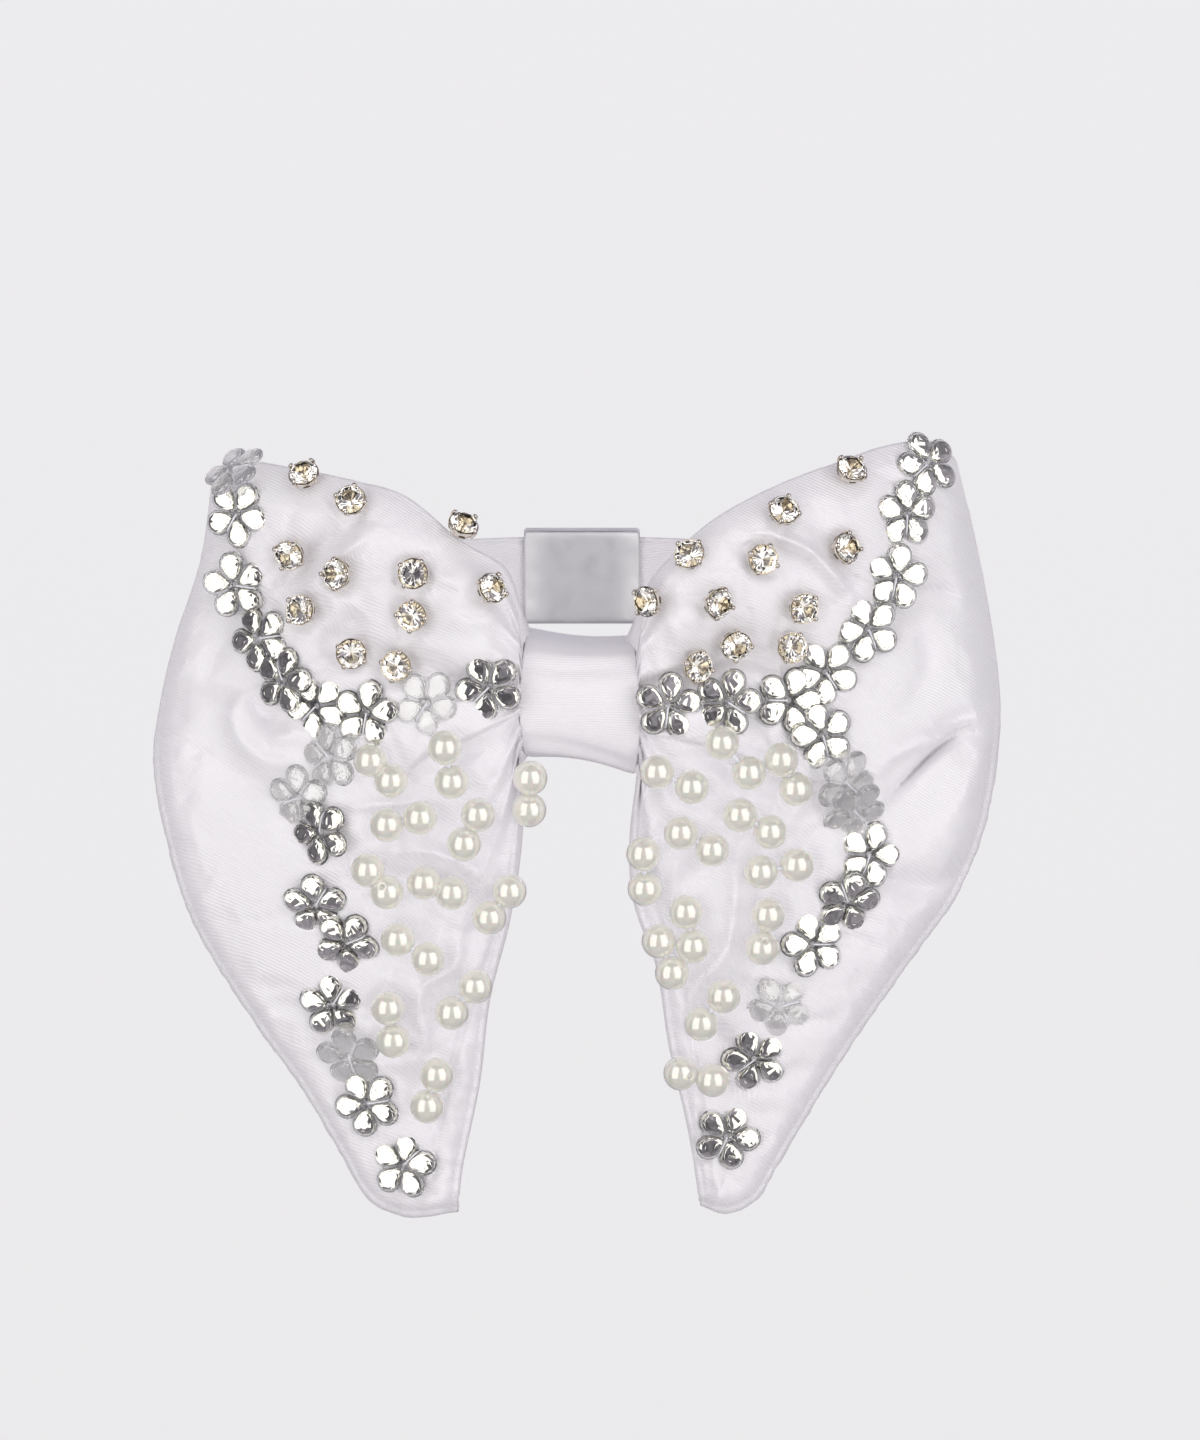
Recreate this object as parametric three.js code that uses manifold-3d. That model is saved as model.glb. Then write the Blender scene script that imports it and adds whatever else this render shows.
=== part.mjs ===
// Beaded satin bow tie, in millimetres. X runs to the wearer's left, Y from the face of the bow
// to the back of the neck, Z up. The origin is the middle of the neck loop, level with the knot.

import * as THREE from "three";
import { mergeVertices } from "three/addons/utils/BufferGeometryUtils.js";
import Module from "manifold-3d";

const wasm = await Module();
wasm.setup();

// Neck strap and its clasp
const neckRadius = 65;
const strap = { height: 15, thickness: 1.6, endGap: 0.8, segments: 26 };
const clasp = { length: 22, height: 18, thickness: 5, slotHeight: 15.9, slotThickness: 3.4, behind: 65.35 };

// Knot wrap: a band of cloth round the waist of the wings and round the strap
const knot = { front: -83, back: -62, wall: 1.3, sideBulge: 0.7, frontPower: 3, backPower: 7, sides: 24 };
const knotSections = table("across middle halfHeight", [
  [-9.2, 1.0, 11.0],
  [0, 0, 10.2],
  [9.2, -1.3, 11.8],
]);

// The outlines and the places of the stones are stated as the front view shows them: across and up
// from the aim point, in millimetres in the plane of the knot's face, seen from slightly above.
const view = { distance: 1400, tilt: THREE.MathUtils.degToRad(10), aimUp: 1.4 };

// Wing cloth: a gathered waist inside the knot, then one stiffened sheet sewn at its edge
const waist = { halfHeight: 7.6, front: -80.9, back: -70.2, rounding: 3.2, innerEnd: 0.2, outerEnd: 9.5 };
const sheet = { thickness: 2.6, edge: 1.5, gathered: 9.5, gatherReach: 11 };
const sheetGrid = { columns: 12, rows: 16, spread: 1.15 };
const sheetBase = { front: -82.6, upperRadius: 92, lowerRadius: 170, upperFrom: 20, lowerFrom: -40 };
const knotPinch = { depth: 3.4, from: 9.4, reach: 4 };
// Points along each edge and fold line, and the span over which the cloth's facing is measured
const samples = { edge: 36, fold: 12, facingSpan: 3, stoneSpan: 3.5, foldEnd: 0.04 };
const edgeRoll = {
  top: { width: 8, drop: 5, outside: 1 },
  outer: { width: 7.5, drop: 3.4, outside: 1 },
  inner: { width: 5, drop: 2.6, outside: -1 },
};

// Each wing: edges from the knot outwards and down to the tip, soft lobes, and the main folds, each
// with its height, its width above and below, and a path of places across and up
const leftWing = {
  top: table("across up", [
    [-10.5, 14.5], [-13.3, 22.6], [-20.9, 27.9], [-30.5, 35.5], [-38.5, 37.9],
    [-50.2, 40.3], [-58, 41.2], [-63.4, 39],
  ]),
  outer: table("across up", [
    [-63.4, 39], [-65.5, 24.5], [-69.9, 10.9], [-72.3, 0.8], [-73.6, -9.7], [-71.8, -21.6],
    [-66.9, -37.6], [-55.2, -56.6], [-48.2, -66.2], [-41.4, -77.6], [-36.2, -85.9], [-30, -88.7],
    [-21.2, -87.9],
  ]),
  inner: table("across up", [
    [-10.5, -11], [-10.6, -24.1], [-12.4, -37.6], [-15.7, -51.2], [-17.5, -66], [-20.5, -80.9],
    [-21.2, -87.9],
  ]),
  lobes: table("across up wide tall height", [
    [-40, 22, 20, 13, 4],
    [-42, -28, 22, 26, 4.5],
    [-17.5, 13, 6, 9, 2.4],
    [-17, -15, 6, 9, 2.4],
  ]),
  folds: [
    { height: -3, above: 5, below: 3.5, path: [[-9.8, 2.9], [-20.3, 4], [-34, 6.4]] },
    { height: 2, above: 5, below: 3.5, path: [[-10.2, -2.1], [-20.3, -7.1], [-30.5, -12.2]] },
    { height: -2.4, above: 3.5, below: 4.5, path: [[-58.3, -1], [-57.2, -8.6], [-48, -15]] },
    { height: -1.6, above: 3.5, below: 3.5, path: [[-40, 29.8], [-47.8, 24.3], [-53.3, 18.3]] },
    { height: 1.6, above: 4, below: 3.5, path: [[-31.7, -26], [-25.9, -25.9], [-16.7, -31.2]] },
    { height: 1.5, above: 4, below: 4, path: [[-20.5, -38.8], [-26.9, -49], [-29.1, -60.9]] },
  ],
};
const rightWing = {
  top: table("across up", [
    [10.5, 14.5], [13.1, 21.2], [21.7, 30.3], [33.8, 37.1], [44, 41], [54.1, 44.3], [61, 44.6], [64.9, 41.5],
  ]),
  outer: table("across up", [
    [64.9, 41.5], [68.4, 26.9], [71.4, 10.2], [72.4, -2.1], [70, -20.5], [64.8, -33.4], [57.6, -43.6],
    [46.6, -59.3], [37.9, -73.3], [33.8, -80.2], [30.4, -85.8], [25, -88.2], [20.8, -86.8],
  ]),
  inner: table("across up", [
    [10.5, -13.4], [9.2, -25], [9.8, -35], [13.4, -45.7], [15.5, -59.3], [18.8, -74.3], [20.8, -86.8],
  ]),
  lobes: table("across up wide tall height", [
    [40, 23, 20, 13, 4],
    [40, -28, 22, 24, 4.5],
    [17.5, 14, 6, 9, 2.4],
    [17, -18, 6, 9, 2.4],
  ]),
  folds: [
    { height: -3, above: 5, below: 3.5, path: [[9.8, 2.1], [27.2, 7.6], [35, 6]] },
    { height: 2, above: 5, below: 3.5, path: [[10, -5.7], [20.7, -7.4], [46.6, -15.2]] },
    { height: -3.2, above: 4.5, below: 3.5, path: [[50, -17.5], [58.3, -11.7], [70.3, -5.2]] },
    { height: 1.6, above: 3.5, below: 3.5, path: [[33.8, 28.8], [40, 25.9], [46.6, 18.3]] },
    { height: -1.5, above: 4, below: 4, path: [[53.6, -31.2], [61.6, -31.7], [66.6, -27.4]] },
    { height: 1.6, above: 4, below: 4, path: [[27.1, -26.9], [25, -43.1], [17.4, -54.3]] },
  ],
};

// Five-petal flower stones. Spin is the direction of one petal; faceUp and faceOut lean the stone.
const flower = { shoulderRadius: 5.45, shoulderAngle: 19, notchRadius: 2.1, petalRadius: 3.5, petals: 5 };
const flowerHeights = { shoulder: 0.9, notch: 0.8, dome: 2.1, middle: 0.9, lift: 0.5 };
const thread = { width: 0.7, height: 0.5, above: 0.45, from: 0.4, leastJoin: 0.05 };
const leftFlowers = table("across up spin faceUp faceOut", [
  [-59.3, 39.3, 20, 4, 0],
  [-59, 32.4, -85, 0, 0],
  [-59.3, 20.2, 101, 0, 0],
  [-55, 11, -100, 0, 0],
  [-50.9, 3.8, 75, 0, 0],
  [-45.3, -0.7, 45, 0, 0],
  [-36.7, -1.9, 80, 0, 0],
  [-26.2, -0.2, 57, 0, 0],
  [-15.7, 2.6, 45, 0, 0],
  [-42.9, -9.5, 100, -6, 14],
  [-48.3, -16.4, 95, -12, 6],
  [-44.5, -22.4, 43, 0, 0],
  [-45.5, -35, 97, 0, 0],
  [-40.2, -41.4, 62, 0, 0],
  [-42.6, -52.1, 95, 0, 0],
  [-39.7, -60.9, 105, -18, 0],
  [-36.6, -69.1, 47, 0, 0],
  [-30.3, -79.8, 80, 0, 0],
]);
const rightFlowers = table("across up spin faceUp faceOut", [
  [59.7, 41, 45, 0, 0],
  [56, 32.4, 90, 0, 0],
  [54.3, 21.6, 79, 0, 0],
  [49.5, 12.6, 41, 0, 0],
  [42.2, 5.2, 52, 0, 0],
  [35.9, 0.3, 70, 0, 0],
  [25.5, 0, 75, 0, 0],
  [15.2, -0.7, 83, 0, 0],
  [41.6, -5.7, 35, 0, 0],
  [45.7, -13.8, 60, -16, 8],
  [47.2, -18.4, 50, -38, 0],
  [49.7, -26.2, 71, 0, 0],
  [46, -34.3, 72, -6, 0],
  [40, -41.7, 34, 0, 0],
  [34.3, -52.2, 47, 0, 0],
  [30, -61.4, 36, 0, 0],
  [25.3, -74.8, 65, 0, 0],
]);
// Index pairs of the flowers that one thread joins: the trail, and its branch to the knot
const leftThread = [[0, 1], [1, 2], [2, 3], [3, 4], [4, 5], [5, 6], [6, 7], [7, 8], [5, 9], [9, 10],
  [10, 11], [11, 12], [12, 13], [13, 14], [14, 15], [15, 16], [16, 17]];
const rightThread = [[0, 1], [1, 2], [2, 3], [3, 4], [4, 5], [5, 6], [6, 7], [5, 8], [8, 9], [9, 10],
  [10, 11], [11, 12], [12, 13], [13, 14], [14, 15], [15, 16]];

// Round crystals, each in a cup with four claws
const crystal = { sides: 8, footRadius: 2.2, lift: 0.5 };
// Rings from the back of the cup to the table: radius and height at a claw, and between two claws
const crystalRings = table("claw clawZ gap gapZ", [
  [1.5, 0, 1.5, 0],
  [2.78, 2.2, 2.52, 2.2],
  [2.3, 3.1, 2.35, 2.7],
  [1.4, 3.7, 1.4, 3.7],
]);
const leftCrystals = table("across up spin faceUp", [
  [-47.2, 38.1, 10, 0],
  [-39.3, 34.1, 30, 0],
  [-20.7, 29.1, 0, 0],
  [-49.5, 26, 20, 0],
  [-41, 22.1, 45, 0],
  [-28.6, 22.1, 10, 0],
  [-16.2, 19.1, 25, 0],
  [-47.4, 15.7, 0, 0],
  [-28.6, 15.2, 40, 0],
  [-39.5, 8.8, 15, 0],
  [-31.3, 6.4, 30, 0],
]);
const rightCrystals = table("across up spin faceUp", [
  [46.2, 39, 10, 0],
  [34.7, 32.2, 30, 0],
  [19.3, 24.8, 0, 0],
  [31.2, 24.8, 20, 0],
  [44.7, 26.2, 45, 0],
  [12.8, 17.6, 10, 0],
  [22.8, 17.4, 25, 0],
  [37.9, 16.4, 0, 0],
  [26.4, 10.5, 40, 0],
  [36, 9.3, 15, 0],
  [19.5, 6.2, 30, 0],
]);

// Pearls, sewn in pairs with one stitch of thread
const pearl = { radius: 2.95, sides: 10, bands: 4, lift: 0.35, stitchRadius: 0.6, stitchSides: 3 };
const leftPearls = table("across1 up1 across2 up2", [
  [-36.1, -10.1, -32.6, -13.6],
  [-23.3, -7.9, -22.1, -13.8],
  [-33.3, -21.2, -27.6, -20],
  [-17.6, -19.5, -20, -24.5],
  [-36.6, -29, -33.3, -32.8],
  [-26.9, -31.2, -22.1, -32.9],
  [-12.2, -32.6, -15.7, -37.2],
  [-31.4, -41, -26.2, -44.3],
  [-33.1, -52.8, -32.2, -58.4],
  [-18.1, -49.1, -22.1, -53.6],
  [-24.7, -64.3, -26.4, -69.7],
  [-8.6, -13.1, -8.8, -18.6],
]);
const rightPearls = table("across1 up1 across2 up2", [
  [24.5, -7.1, 29.1, -12.2],
  [34.7, -10, 37.2, -15],
  [13.3, -12.1, 19.3, -14.7],
  [27.6, -19.5, 32.8, -22.4],
  [17.4, -22.6, 22.8, -25.5],
  [11, -26.2, 11.2, -32.2],
  [31.2, -29.3, 37.4, -28.1],
  [18.3, -36.2, 19.5, -42.1],
  [13.6, -41.2, 15.9, -46.7],
  [32.4, -36.7, 31.4, -42.4],
  [24.7, -50.7, 20.9, -55.5],
  [17.4, -64, 22.9, -65.2],
]);

// Reads rows of numbers as objects with the named columns.
function table(names, rows) {
  const columns = names.split(" ");
  return rows.map((row) => Object.fromEntries(columns.map((name, i) => [name, row[i]])));
}

// Directions of the front view: right, up and forward, and the place that it is seen from.
const viewRight = new THREE.Vector3(1, 0, 0);
const viewUp = new THREE.Vector3(0, Math.sin(view.tilt), Math.cos(view.tilt));
const viewForward = new THREE.Vector3(0, Math.cos(view.tilt), -Math.sin(view.tilt));
const viewAim = new THREE.Vector3(0, knot.front, view.aimUp);
const viewEye = viewAim.clone().addScaledVector(viewForward, -view.distance);

// The point at depth y on the sight line through one place of the front view.
function sightPoint(across, up, y) {
  const ray = viewAim.clone().addScaledVector(viewRight, across).addScaledVector(viewUp, up).sub(viewEye);
  return viewEye.clone().addScaledVector(ray, (y - viewEye.y) / ray.y);
}

// The place of the front view at which a point is seen.
function seenAt(point) {
  const ray = point.clone().sub(viewEye);
  const scale = view.distance / ray.dot(viewForward);
  return { across: ray.dot(viewRight) * scale, up: ray.dot(viewUp) * scale };
}

// A smooth curve through places of the front view.
function edgeCurve(places) {
  const points = places.map((place) => new THREE.Vector3(place.across, place.up, 0));
  return new THREE.CatmullRomCurve3(points, false, "centripetal");
}

// Distance from a place to a line of points, how far along the line it is, whether it lies above
// the line, whether it is on the left as one walks along it, and whether it is past either end.
function nearestOnLine(line, across, up) {
  let best = { distance: Infinity };
  for (let i = 0; i + 1 < line.length; i += 1) {
    const dx = line[i + 1].x - line[i].x;
    const dy = line[i + 1].y - line[i].y;
    const px = across - line[i].x;
    const py = up - line[i].y;
    const whole = (px * dx + py * dy) / (dx * dx + dy * dy);
    const t = THREE.MathUtils.clamp(whole, 0, 1);
    const distance = Math.hypot(px - t * dx, py - t * dy);
    if (distance < best.distance) {
      const past = (i === 0 && whole < 0) || (i + 2 === line.length && whole > 1);
      const along = (i + t) / (line.length - 1);
      best = { distance, along, above: py > t * dy, onLeft: dx * py > dy * px, past };
    }
  }
  return best;
}

// Adds the sampled edges and folds that the depth of the cloth is worked out from.
function prepareWing(wing, sign) {
  wing.sign = sign;
  wing.curves = { top: edgeCurve(wing.top), outer: edgeCurve(wing.outer), inner: edgeCurve(wing.inner) };
  wing.lines = {};
  for (const name of Object.keys(wing.curves)) {
    wing.lines[name] = wing.curves[name].getSpacedPoints(samples.edge);
  }
  for (const fold of wing.folds) {
    fold.line = edgeCurve(table("across up", fold.path)).getSpacedPoints(samples.fold);
  }
  return wing;
}

// Depth of the front of the cloth: bent round the neck, swelled by the lobes, rolled back at the
// edges, creased by the folds and pinched where it comes out of the knot.
function clothDepth(wing, across, up) {
  const outward = Math.abs(across);
  const upper = THREE.MathUtils.smoothstep(up, sheetBase.lowerFrom, sheetBase.upperFrom);
  const radius = THREE.MathUtils.lerp(sheetBase.lowerRadius, sheetBase.upperRadius, upper);
  let depth = sheetBase.front + (outward * outward) / (2 * radius);
  for (const lobe of wing.lobes) {
    const x = (across - lobe.across) / lobe.wide;
    const z = (up - lobe.up) / lobe.tall;
    depth -= lobe.height * Math.exp(-(x * x + z * z) / 2);
  }
  for (const [name, roll] of Object.entries(edgeRoll)) {
    const { distance, onLeft, past } = nearestOnLine(wing.lines[name], across, up);
    const outside = past ? -1 : (onLeft ? 1 : -1) * wing.sign * roll.outside;
    const reach = Math.max(0, 1 + (outside * distance) / roll.width);
    depth += roll.drop * reach * reach;
  }
  for (const fold of wing.folds) {
    const { distance, along, above } = nearestOnLine(fold.line, across, up);
    const width = above ? fold.above : fold.below;
    const inner = THREE.MathUtils.clamp(along, samples.foldEnd, 1 - samples.foldEnd);
    const fade = Math.sqrt(Math.sin(Math.PI * inner));
    depth -= fold.height * fade * Math.exp(-((distance / width) ** 2));
  }
  depth += knotPinch.depth * Math.exp(-(((outward - knotPinch.from) / knotPinch.reach) ** 2));
  return depth;
}

// A point of the front of the cloth, and the direction that the cloth faces there.
function clothPoint(wing, across, up) {
  return sightPoint(across, up, clothDepth(wing, across, up));
}
function clothNormal(wing, across, up, step) {
  const alongX = clothPoint(wing, across + step, up).sub(clothPoint(wing, across - step, up));
  const alongZ = clothPoint(wing, across, up + step).sub(clothPoint(wing, across, up - step));
  return alongX.cross(alongZ).normalize();
}

// A place inside the outline: out is 0 at the knot and 1 at the outer edge, down is 0 at the top
// edge and 1 at the inner edge. The four edges are blended as in a Coons patch.
function wingPlace(wing, out, down) {
  const knotTop = wing.curves.top.getPoint(0);
  const knotLow = wing.curves.inner.getPoint(0);
  const corner = wing.curves.top.getPoint(1);
  const tip = wing.curves.inner.getPoint(1);
  const topPoint = wing.curves.top.getPointAt(out);
  const lowPoint = wing.curves.inner.getPointAt(out);
  const outerPoint = wing.curves.outer.getPointAt(down);
  const knotPoint = knotTop.clone().lerp(knotLow, down);
  const across = topPoint.lerp(lowPoint, down);
  const along = knotPoint.lerp(outerPoint, out);
  const corners = knotTop.lerp(knotLow, down).lerp(corner.lerp(tip, down), out);
  return across.add(along).sub(corners);
}

// Closed slab between a front and a back grid of the same size, whose rims are stitched together.
function slabGeometry(front, back) {
  const columns = front.length;
  const rows = front[0].length;
  const points = [...front.flat(), ...back.flat()];
  const backStart = columns * rows;
  const faces = [];
  const addQuad = (a, b, c, d) => faces.push(a, b, c, a, c, d);
  for (let i = 0; i + 1 < columns; i += 1) {
    for (let j = 0; j + 1 < rows; j += 1) {
      const a = i * rows + j;
      addQuad(a, a + 1, a + rows + 1, a + rows);
      addQuad(backStart + a, backStart + a + rows, backStart + a + rows + 1, backStart + a + 1);
    }
  }
  const rim = [];
  for (let i = 0; i < columns; i += 1) rim.push(i * rows);
  for (let j = 1; j < rows; j += 1) rim.push((columns - 1) * rows + j);
  for (let i = columns - 2; i >= 0; i -= 1) rim.push(i * rows + rows - 1);
  for (let j = rows - 2; j > 0; j -= 1) rim.push(j);
  rim.forEach((a, k) => {
    const b = rim[(k + 1) % rim.length];
    addQuad(a, b, backStart + b, backStart + a);
  });
  return indexedGeometry(points, faces);
}

function indexedGeometry(points, faces) {
  const geometry = new THREE.BufferGeometry().setFromPoints(points);
  geometry.setIndex(faces);
  geometry.computeVertexNormals();
  return geometry;
}

// Turns every triangle of an indexed geometry over.
function flipFaces(geometry) {
  const index = geometry.index.array;
  for (let i = 0; i < index.length; i += 3) {
    [index[i], index[i + 1]] = [index[i + 1], index[i]];
  }
  geometry.computeVertexNormals();
  return geometry;
}

// One wing: the waist inside the knot, then columns from the knot to the outer edge.
function wingGeometry(wing) {
  const front = [];
  const back = [];
  for (const x of [waist.innerEnd, waist.outerEnd]) {
    const levels = Array.from({ length: sheetGrid.rows + 1 }, (_, j) => 1 - (2 * j) / sheetGrid.rows);
    front.push(levels.map((level) => {
      const rounded = waist.front + waist.rounding * Math.abs(level) ** 3;
      return new THREE.Vector3(wing.sign * x, rounded, level * waist.halfHeight);
    }));
    back.push(levels.map((level) => new THREE.Vector3(wing.sign * x, waist.back, level * waist.halfHeight)));
  }
  for (let i = 0; i <= sheetGrid.columns; i += 1) {
    const out = (i / sheetGrid.columns) ** sheetGrid.spread;
    const frontColumn = [];
    const backColumn = [];
    for (let j = 0; j <= sheetGrid.rows; j += 1) {
      const place = wingPlace(wing, out, j / sheetGrid.rows);
      const point = clothPoint(wing, place.x, place.y);
      const atRim = i === sheetGrid.columns || j === 0 || j === sheetGrid.rows;
      const gather = Math.exp(-(((Math.abs(place.x) - knotPinch.from) / sheet.gatherReach) ** 2));
      const flat = atRim ? sheet.edge : sheet.thickness;
      const thickness = THREE.MathUtils.lerp(flat, sheet.gathered, gather);
      const inward = clothNormal(wing, place.x, place.y, samples.facingSpan).negate();
      inward.lerp(new THREE.Vector3(0, 1, 0), gather);
      frontColumn.push(point);
      backColumn.push(point.clone().addScaledVector(inward.normalize(), thickness));
    }
    front.push(frontColumn);
    back.push(backColumn);
  }
  const geometry = slabGeometry(front, back);
  return wing.sign < 0 ? flipFaces(geometry) : geometry;
}

// Half a superellipse in front of the middle of the knot and a squarer one behind it.
function knotRing(across, middle, halfHeight, inset) {
  const centre = (knot.front + knot.back) / 2;
  const depth = (knot.back - knot.front) / 2 - inset;
  return Array.from({ length: knot.sides }, (_, i) => {
    const angle = (2 * Math.PI * i) / knot.sides;
    const power = Math.cos(angle) < 0 ? knot.frontPower : knot.backPower;
    const reach = (Math.abs(Math.cos(angle)) ** power + Math.abs(Math.sin(angle)) ** power) ** (-1 / power);
    const bulge = Math.sign(across) * knot.sideBulge * Math.cos(angle) ** 2;
    const z = middle + (halfHeight - inset) * reach * Math.sin(angle);
    return new THREE.Vector3(across + bulge, centre + depth * reach * Math.cos(angle), z);
  });
}
function knotGeometry() {
  const outside = knotSections.map((row) => knotRing(row.across, row.middle, row.halfHeight, 0));
  const inside = knotSections.map((row) => knotRing(row.across, row.middle, row.halfHeight, knot.wall));
  const rings = [...outside, ...inside.reverse()];
  const faces = [];
  rings.forEach((ring, i) => {
    const next = ((i + 1) % rings.length) * knot.sides;
    ring.forEach((_, j) => {
      const k = (j + 1) % knot.sides;
      faces.push(i * knot.sides + j, i * knot.sides + k, next + k);
      faces.push(i * knot.sides + j, next + k, next + j);
    });
  });
  return indexedGeometry(rings.flat(), faces);
}

// Strap: an open ring that runs through the knot, with both ends inside the clasp.
function strapGeometry() {
  const halfGap = strap.endGap / 2 / neckRadius;
  const start = Math.PI / 2 + halfGap;
  const end = Math.PI / 2 + 2 * Math.PI - halfGap;
  const shape = new THREE.Shape();
  shape.absarc(0, 0, neckRadius + strap.thickness, start, end, false);
  shape.absarc(0, 0, neckRadius, end, start, true);
  const options = { depth: strap.height, bevelEnabled: false, curveSegments: strap.segments };
  const geometry = new THREE.ExtrudeGeometry(shape, options);
  return geometry.translate(0, 0, -strap.height / 2);
}

// Clasp: a flat sleeve whose slot holds both strap ends.
function claspGeometry() {
  const shape = rectangle(new THREE.Shape(), clasp.thickness, clasp.height);
  shape.holes.push(rectangle(new THREE.Path(), clasp.slotThickness, clasp.slotHeight));
  const geometry = new THREE.ExtrudeGeometry(shape, { depth: clasp.length, bevelEnabled: false });
  const turn = new THREE.Matrix4().makeBasis(
    new THREE.Vector3(0, 1, 0), new THREE.Vector3(0, 0, 1), new THREE.Vector3(1, 0, 0));
  return geometry.translate(0, 0, -clasp.length / 2).applyMatrix4(turn);
}
function rectangle(path, width, height) {
  path.moveTo(-width / 2, -height / 2);
  path.lineTo(width / 2, -height / 2);
  path.lineTo(width / 2, height / 2);
  path.lineTo(-width / 2, height / 2);
  path.closePath();
  return path;
}

// A ring of points about the local Z axis.
function polarPoint(radius, degrees, z) {
  const angle = THREE.MathUtils.degToRad(degrees);
  return new THREE.Vector3(radius * Math.cos(angle), radius * Math.sin(angle), z);
}

// Flower stone, back on the local XY plane: five domed petals that meet at creases.
function flowerGeometry() {
  const step = 360 / flower.petals;
  const bottom = [];
  const rim = [];
  const domes = [];
  for (let i = 0; i < flower.petals; i += 1) {
    const middle = i * step;
    const corners = [[flower.notchRadius, -step / 2, flowerHeights.notch],
      [flower.shoulderRadius, -flower.shoulderAngle, flowerHeights.shoulder],
      [flower.shoulderRadius, flower.shoulderAngle, flowerHeights.shoulder]];
    for (const [radius, angle, height] of corners) {
      bottom.push(polarPoint(radius, middle + angle, 0));
      rim.push(polarPoint(radius, middle + angle, height));
    }
    domes.push(polarPoint(flower.petalRadius, middle, flowerHeights.dome));
  }
  const count = rim.length;
  const middleTop = 2 * count + flower.petals;
  const middles = [new THREE.Vector3(0, 0, flowerHeights.middle), new THREE.Vector3()];
  const points = [...bottom, ...rim, ...domes, ...middles];
  const faces = [];
  for (let i = 0; i < count; i += 1) {
    const next = (i + 1) % count;
    faces.push(middleTop + 1, next, i, i, next, count + next, i, count + next, count + i);
  }
  for (let i = 0; i < flower.petals; i += 1) {
    const dome = 2 * count + i;
    const loop = [0, 1, 2, 3].map((k) => count + ((3 * i + k) % count));
    faces.push(dome, loop[0], loop[1], dome, loop[1], loop[2], dome, loop[2], loop[3]);
    faces.push(dome, loop[3], middleTop, dome, middleTop, loop[0]);
  }
  return indexedGeometry(points, faces);
}

// Crystal in its cup, back on the local XY plane: a tapered cup, claws at every second corner, a
// crown of facets and a flat table.
function crystalGeometry() {
  const rings = crystalRings;
  const points = [];
  const faces = [];
  rings.forEach((ring, level) => {
    for (let i = 0; i < crystal.sides; i += 1) {
      const isClaw = i % 2 === 0;
      const radius = isClaw ? ring.claw : ring.gap;
      points.push(polarPoint(radius, (360 * i) / crystal.sides, isClaw ? ring.clawZ : ring.gapZ));
      const a = level * crystal.sides + i;
      const b = level * crystal.sides + ((i + 1) % crystal.sides);
      const isLast = level + 1 === rings.length;
      if (!isLast) faces.push(a, b, b + crystal.sides, a, b + crystal.sides, a + crystal.sides);
    }
  });
  const top = (rings.length - 1) * crystal.sides;
  for (let i = 1; i + 1 < crystal.sides; i += 1) {
    faces.push(0, i + 1, i, top, top + i, top + i + 1);
  }
  return indexedGeometry(points, faces);
}

// Frame of a stone on the cloth: it faces as the cloth does, leaned by faceUp and faceOut degrees,
// and its X axis points to the right of the view before it is spun.
function stoneFrame(wing, place, lift) {
  const spin = THREE.MathUtils.degToRad(place.spin ?? 0);
  const leanUp = THREE.MathUtils.degToRad(place.faceUp ?? 0);
  const leanOut = THREE.MathUtils.degToRad((place.faceOut ?? 0) * wing.sign);
  let spot = { across: place.across, up: place.up };
  let position;
  let facing;
  for (let pass = 0; pass < 4; pass += 1) {
    facing = clothNormal(wing, spot.across, spot.up, samples.stoneSpan);
    facing.applyAxisAngle(viewRight, -leanUp).applyAxisAngle(new THREE.Vector3(0, 0, 1), leanOut);
    position = clothPoint(wing, spot.across, spot.up).addScaledVector(facing, lift);
    const seen = seenAt(position);
    spot = { across: spot.across + place.across - seen.across, up: spot.up + place.up - seen.up };
  }
  const right = viewRight.clone().addScaledVector(facing, -viewRight.dot(facing)).normalize();
  const over = facing.clone().cross(right);
  const frame = new THREE.Matrix4().makeBasis(right, over, facing);
  frame.multiply(new THREE.Matrix4().makeRotationZ(spin));
  return { frame: frame.setPosition(position), position, facing };
}

// How far a stone has to come forward so that no point under it lies behind the cloth.
function clearLift(wing, place, radius, margin) {
  let lift = margin;
  for (let pass = 0; pass < 3; pass += 1) {
    const { frame, facing } = stoneFrame(wing, place, lift - margin);
    let behind = pass === 0 ? -margin : 0;
    for (let ring = 1; ring <= 3; ring += 1) {
      for (let i = 0; i < 12; i += 1) {
        const point = polarPoint((radius * ring) / 3, 30 * i, 0).applyMatrix4(frame);
        const seen = seenAt(point);
        behind = Math.max(behind, point.y - clothDepth(wing, seen.across, seen.up));
      }
    }
    lift = Math.max(margin, lift + behind / -facing.y);
  }
  return lift;
}

function solidOf(geometry) {
  const bare = geometry.clone();
  bare.deleteAttribute("normal");
  bare.deleteAttribute("uv");
  const merged = mergeVertices(bare, 1e-4);
  return new wasm.Manifold(new wasm.Mesh({
    numProp: 3,
    vertProperties: new Float32Array(merged.attributes.position.array),
    triVerts: new Uint32Array(merged.index.array),
  }));
}
function geometryOf(solid) {
  const mesh = solid.getMesh();
  const geometry = new THREE.BufferGeometry();
  geometry.setAttribute("position", new THREE.BufferAttribute(new Float32Array(mesh.vertProperties), 3));
  geometry.setIndex(new THREE.BufferAttribute(new Uint32Array(mesh.triVerts), 1));
  geometry.computeVertexNormals();
  return geometry;
}

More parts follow.
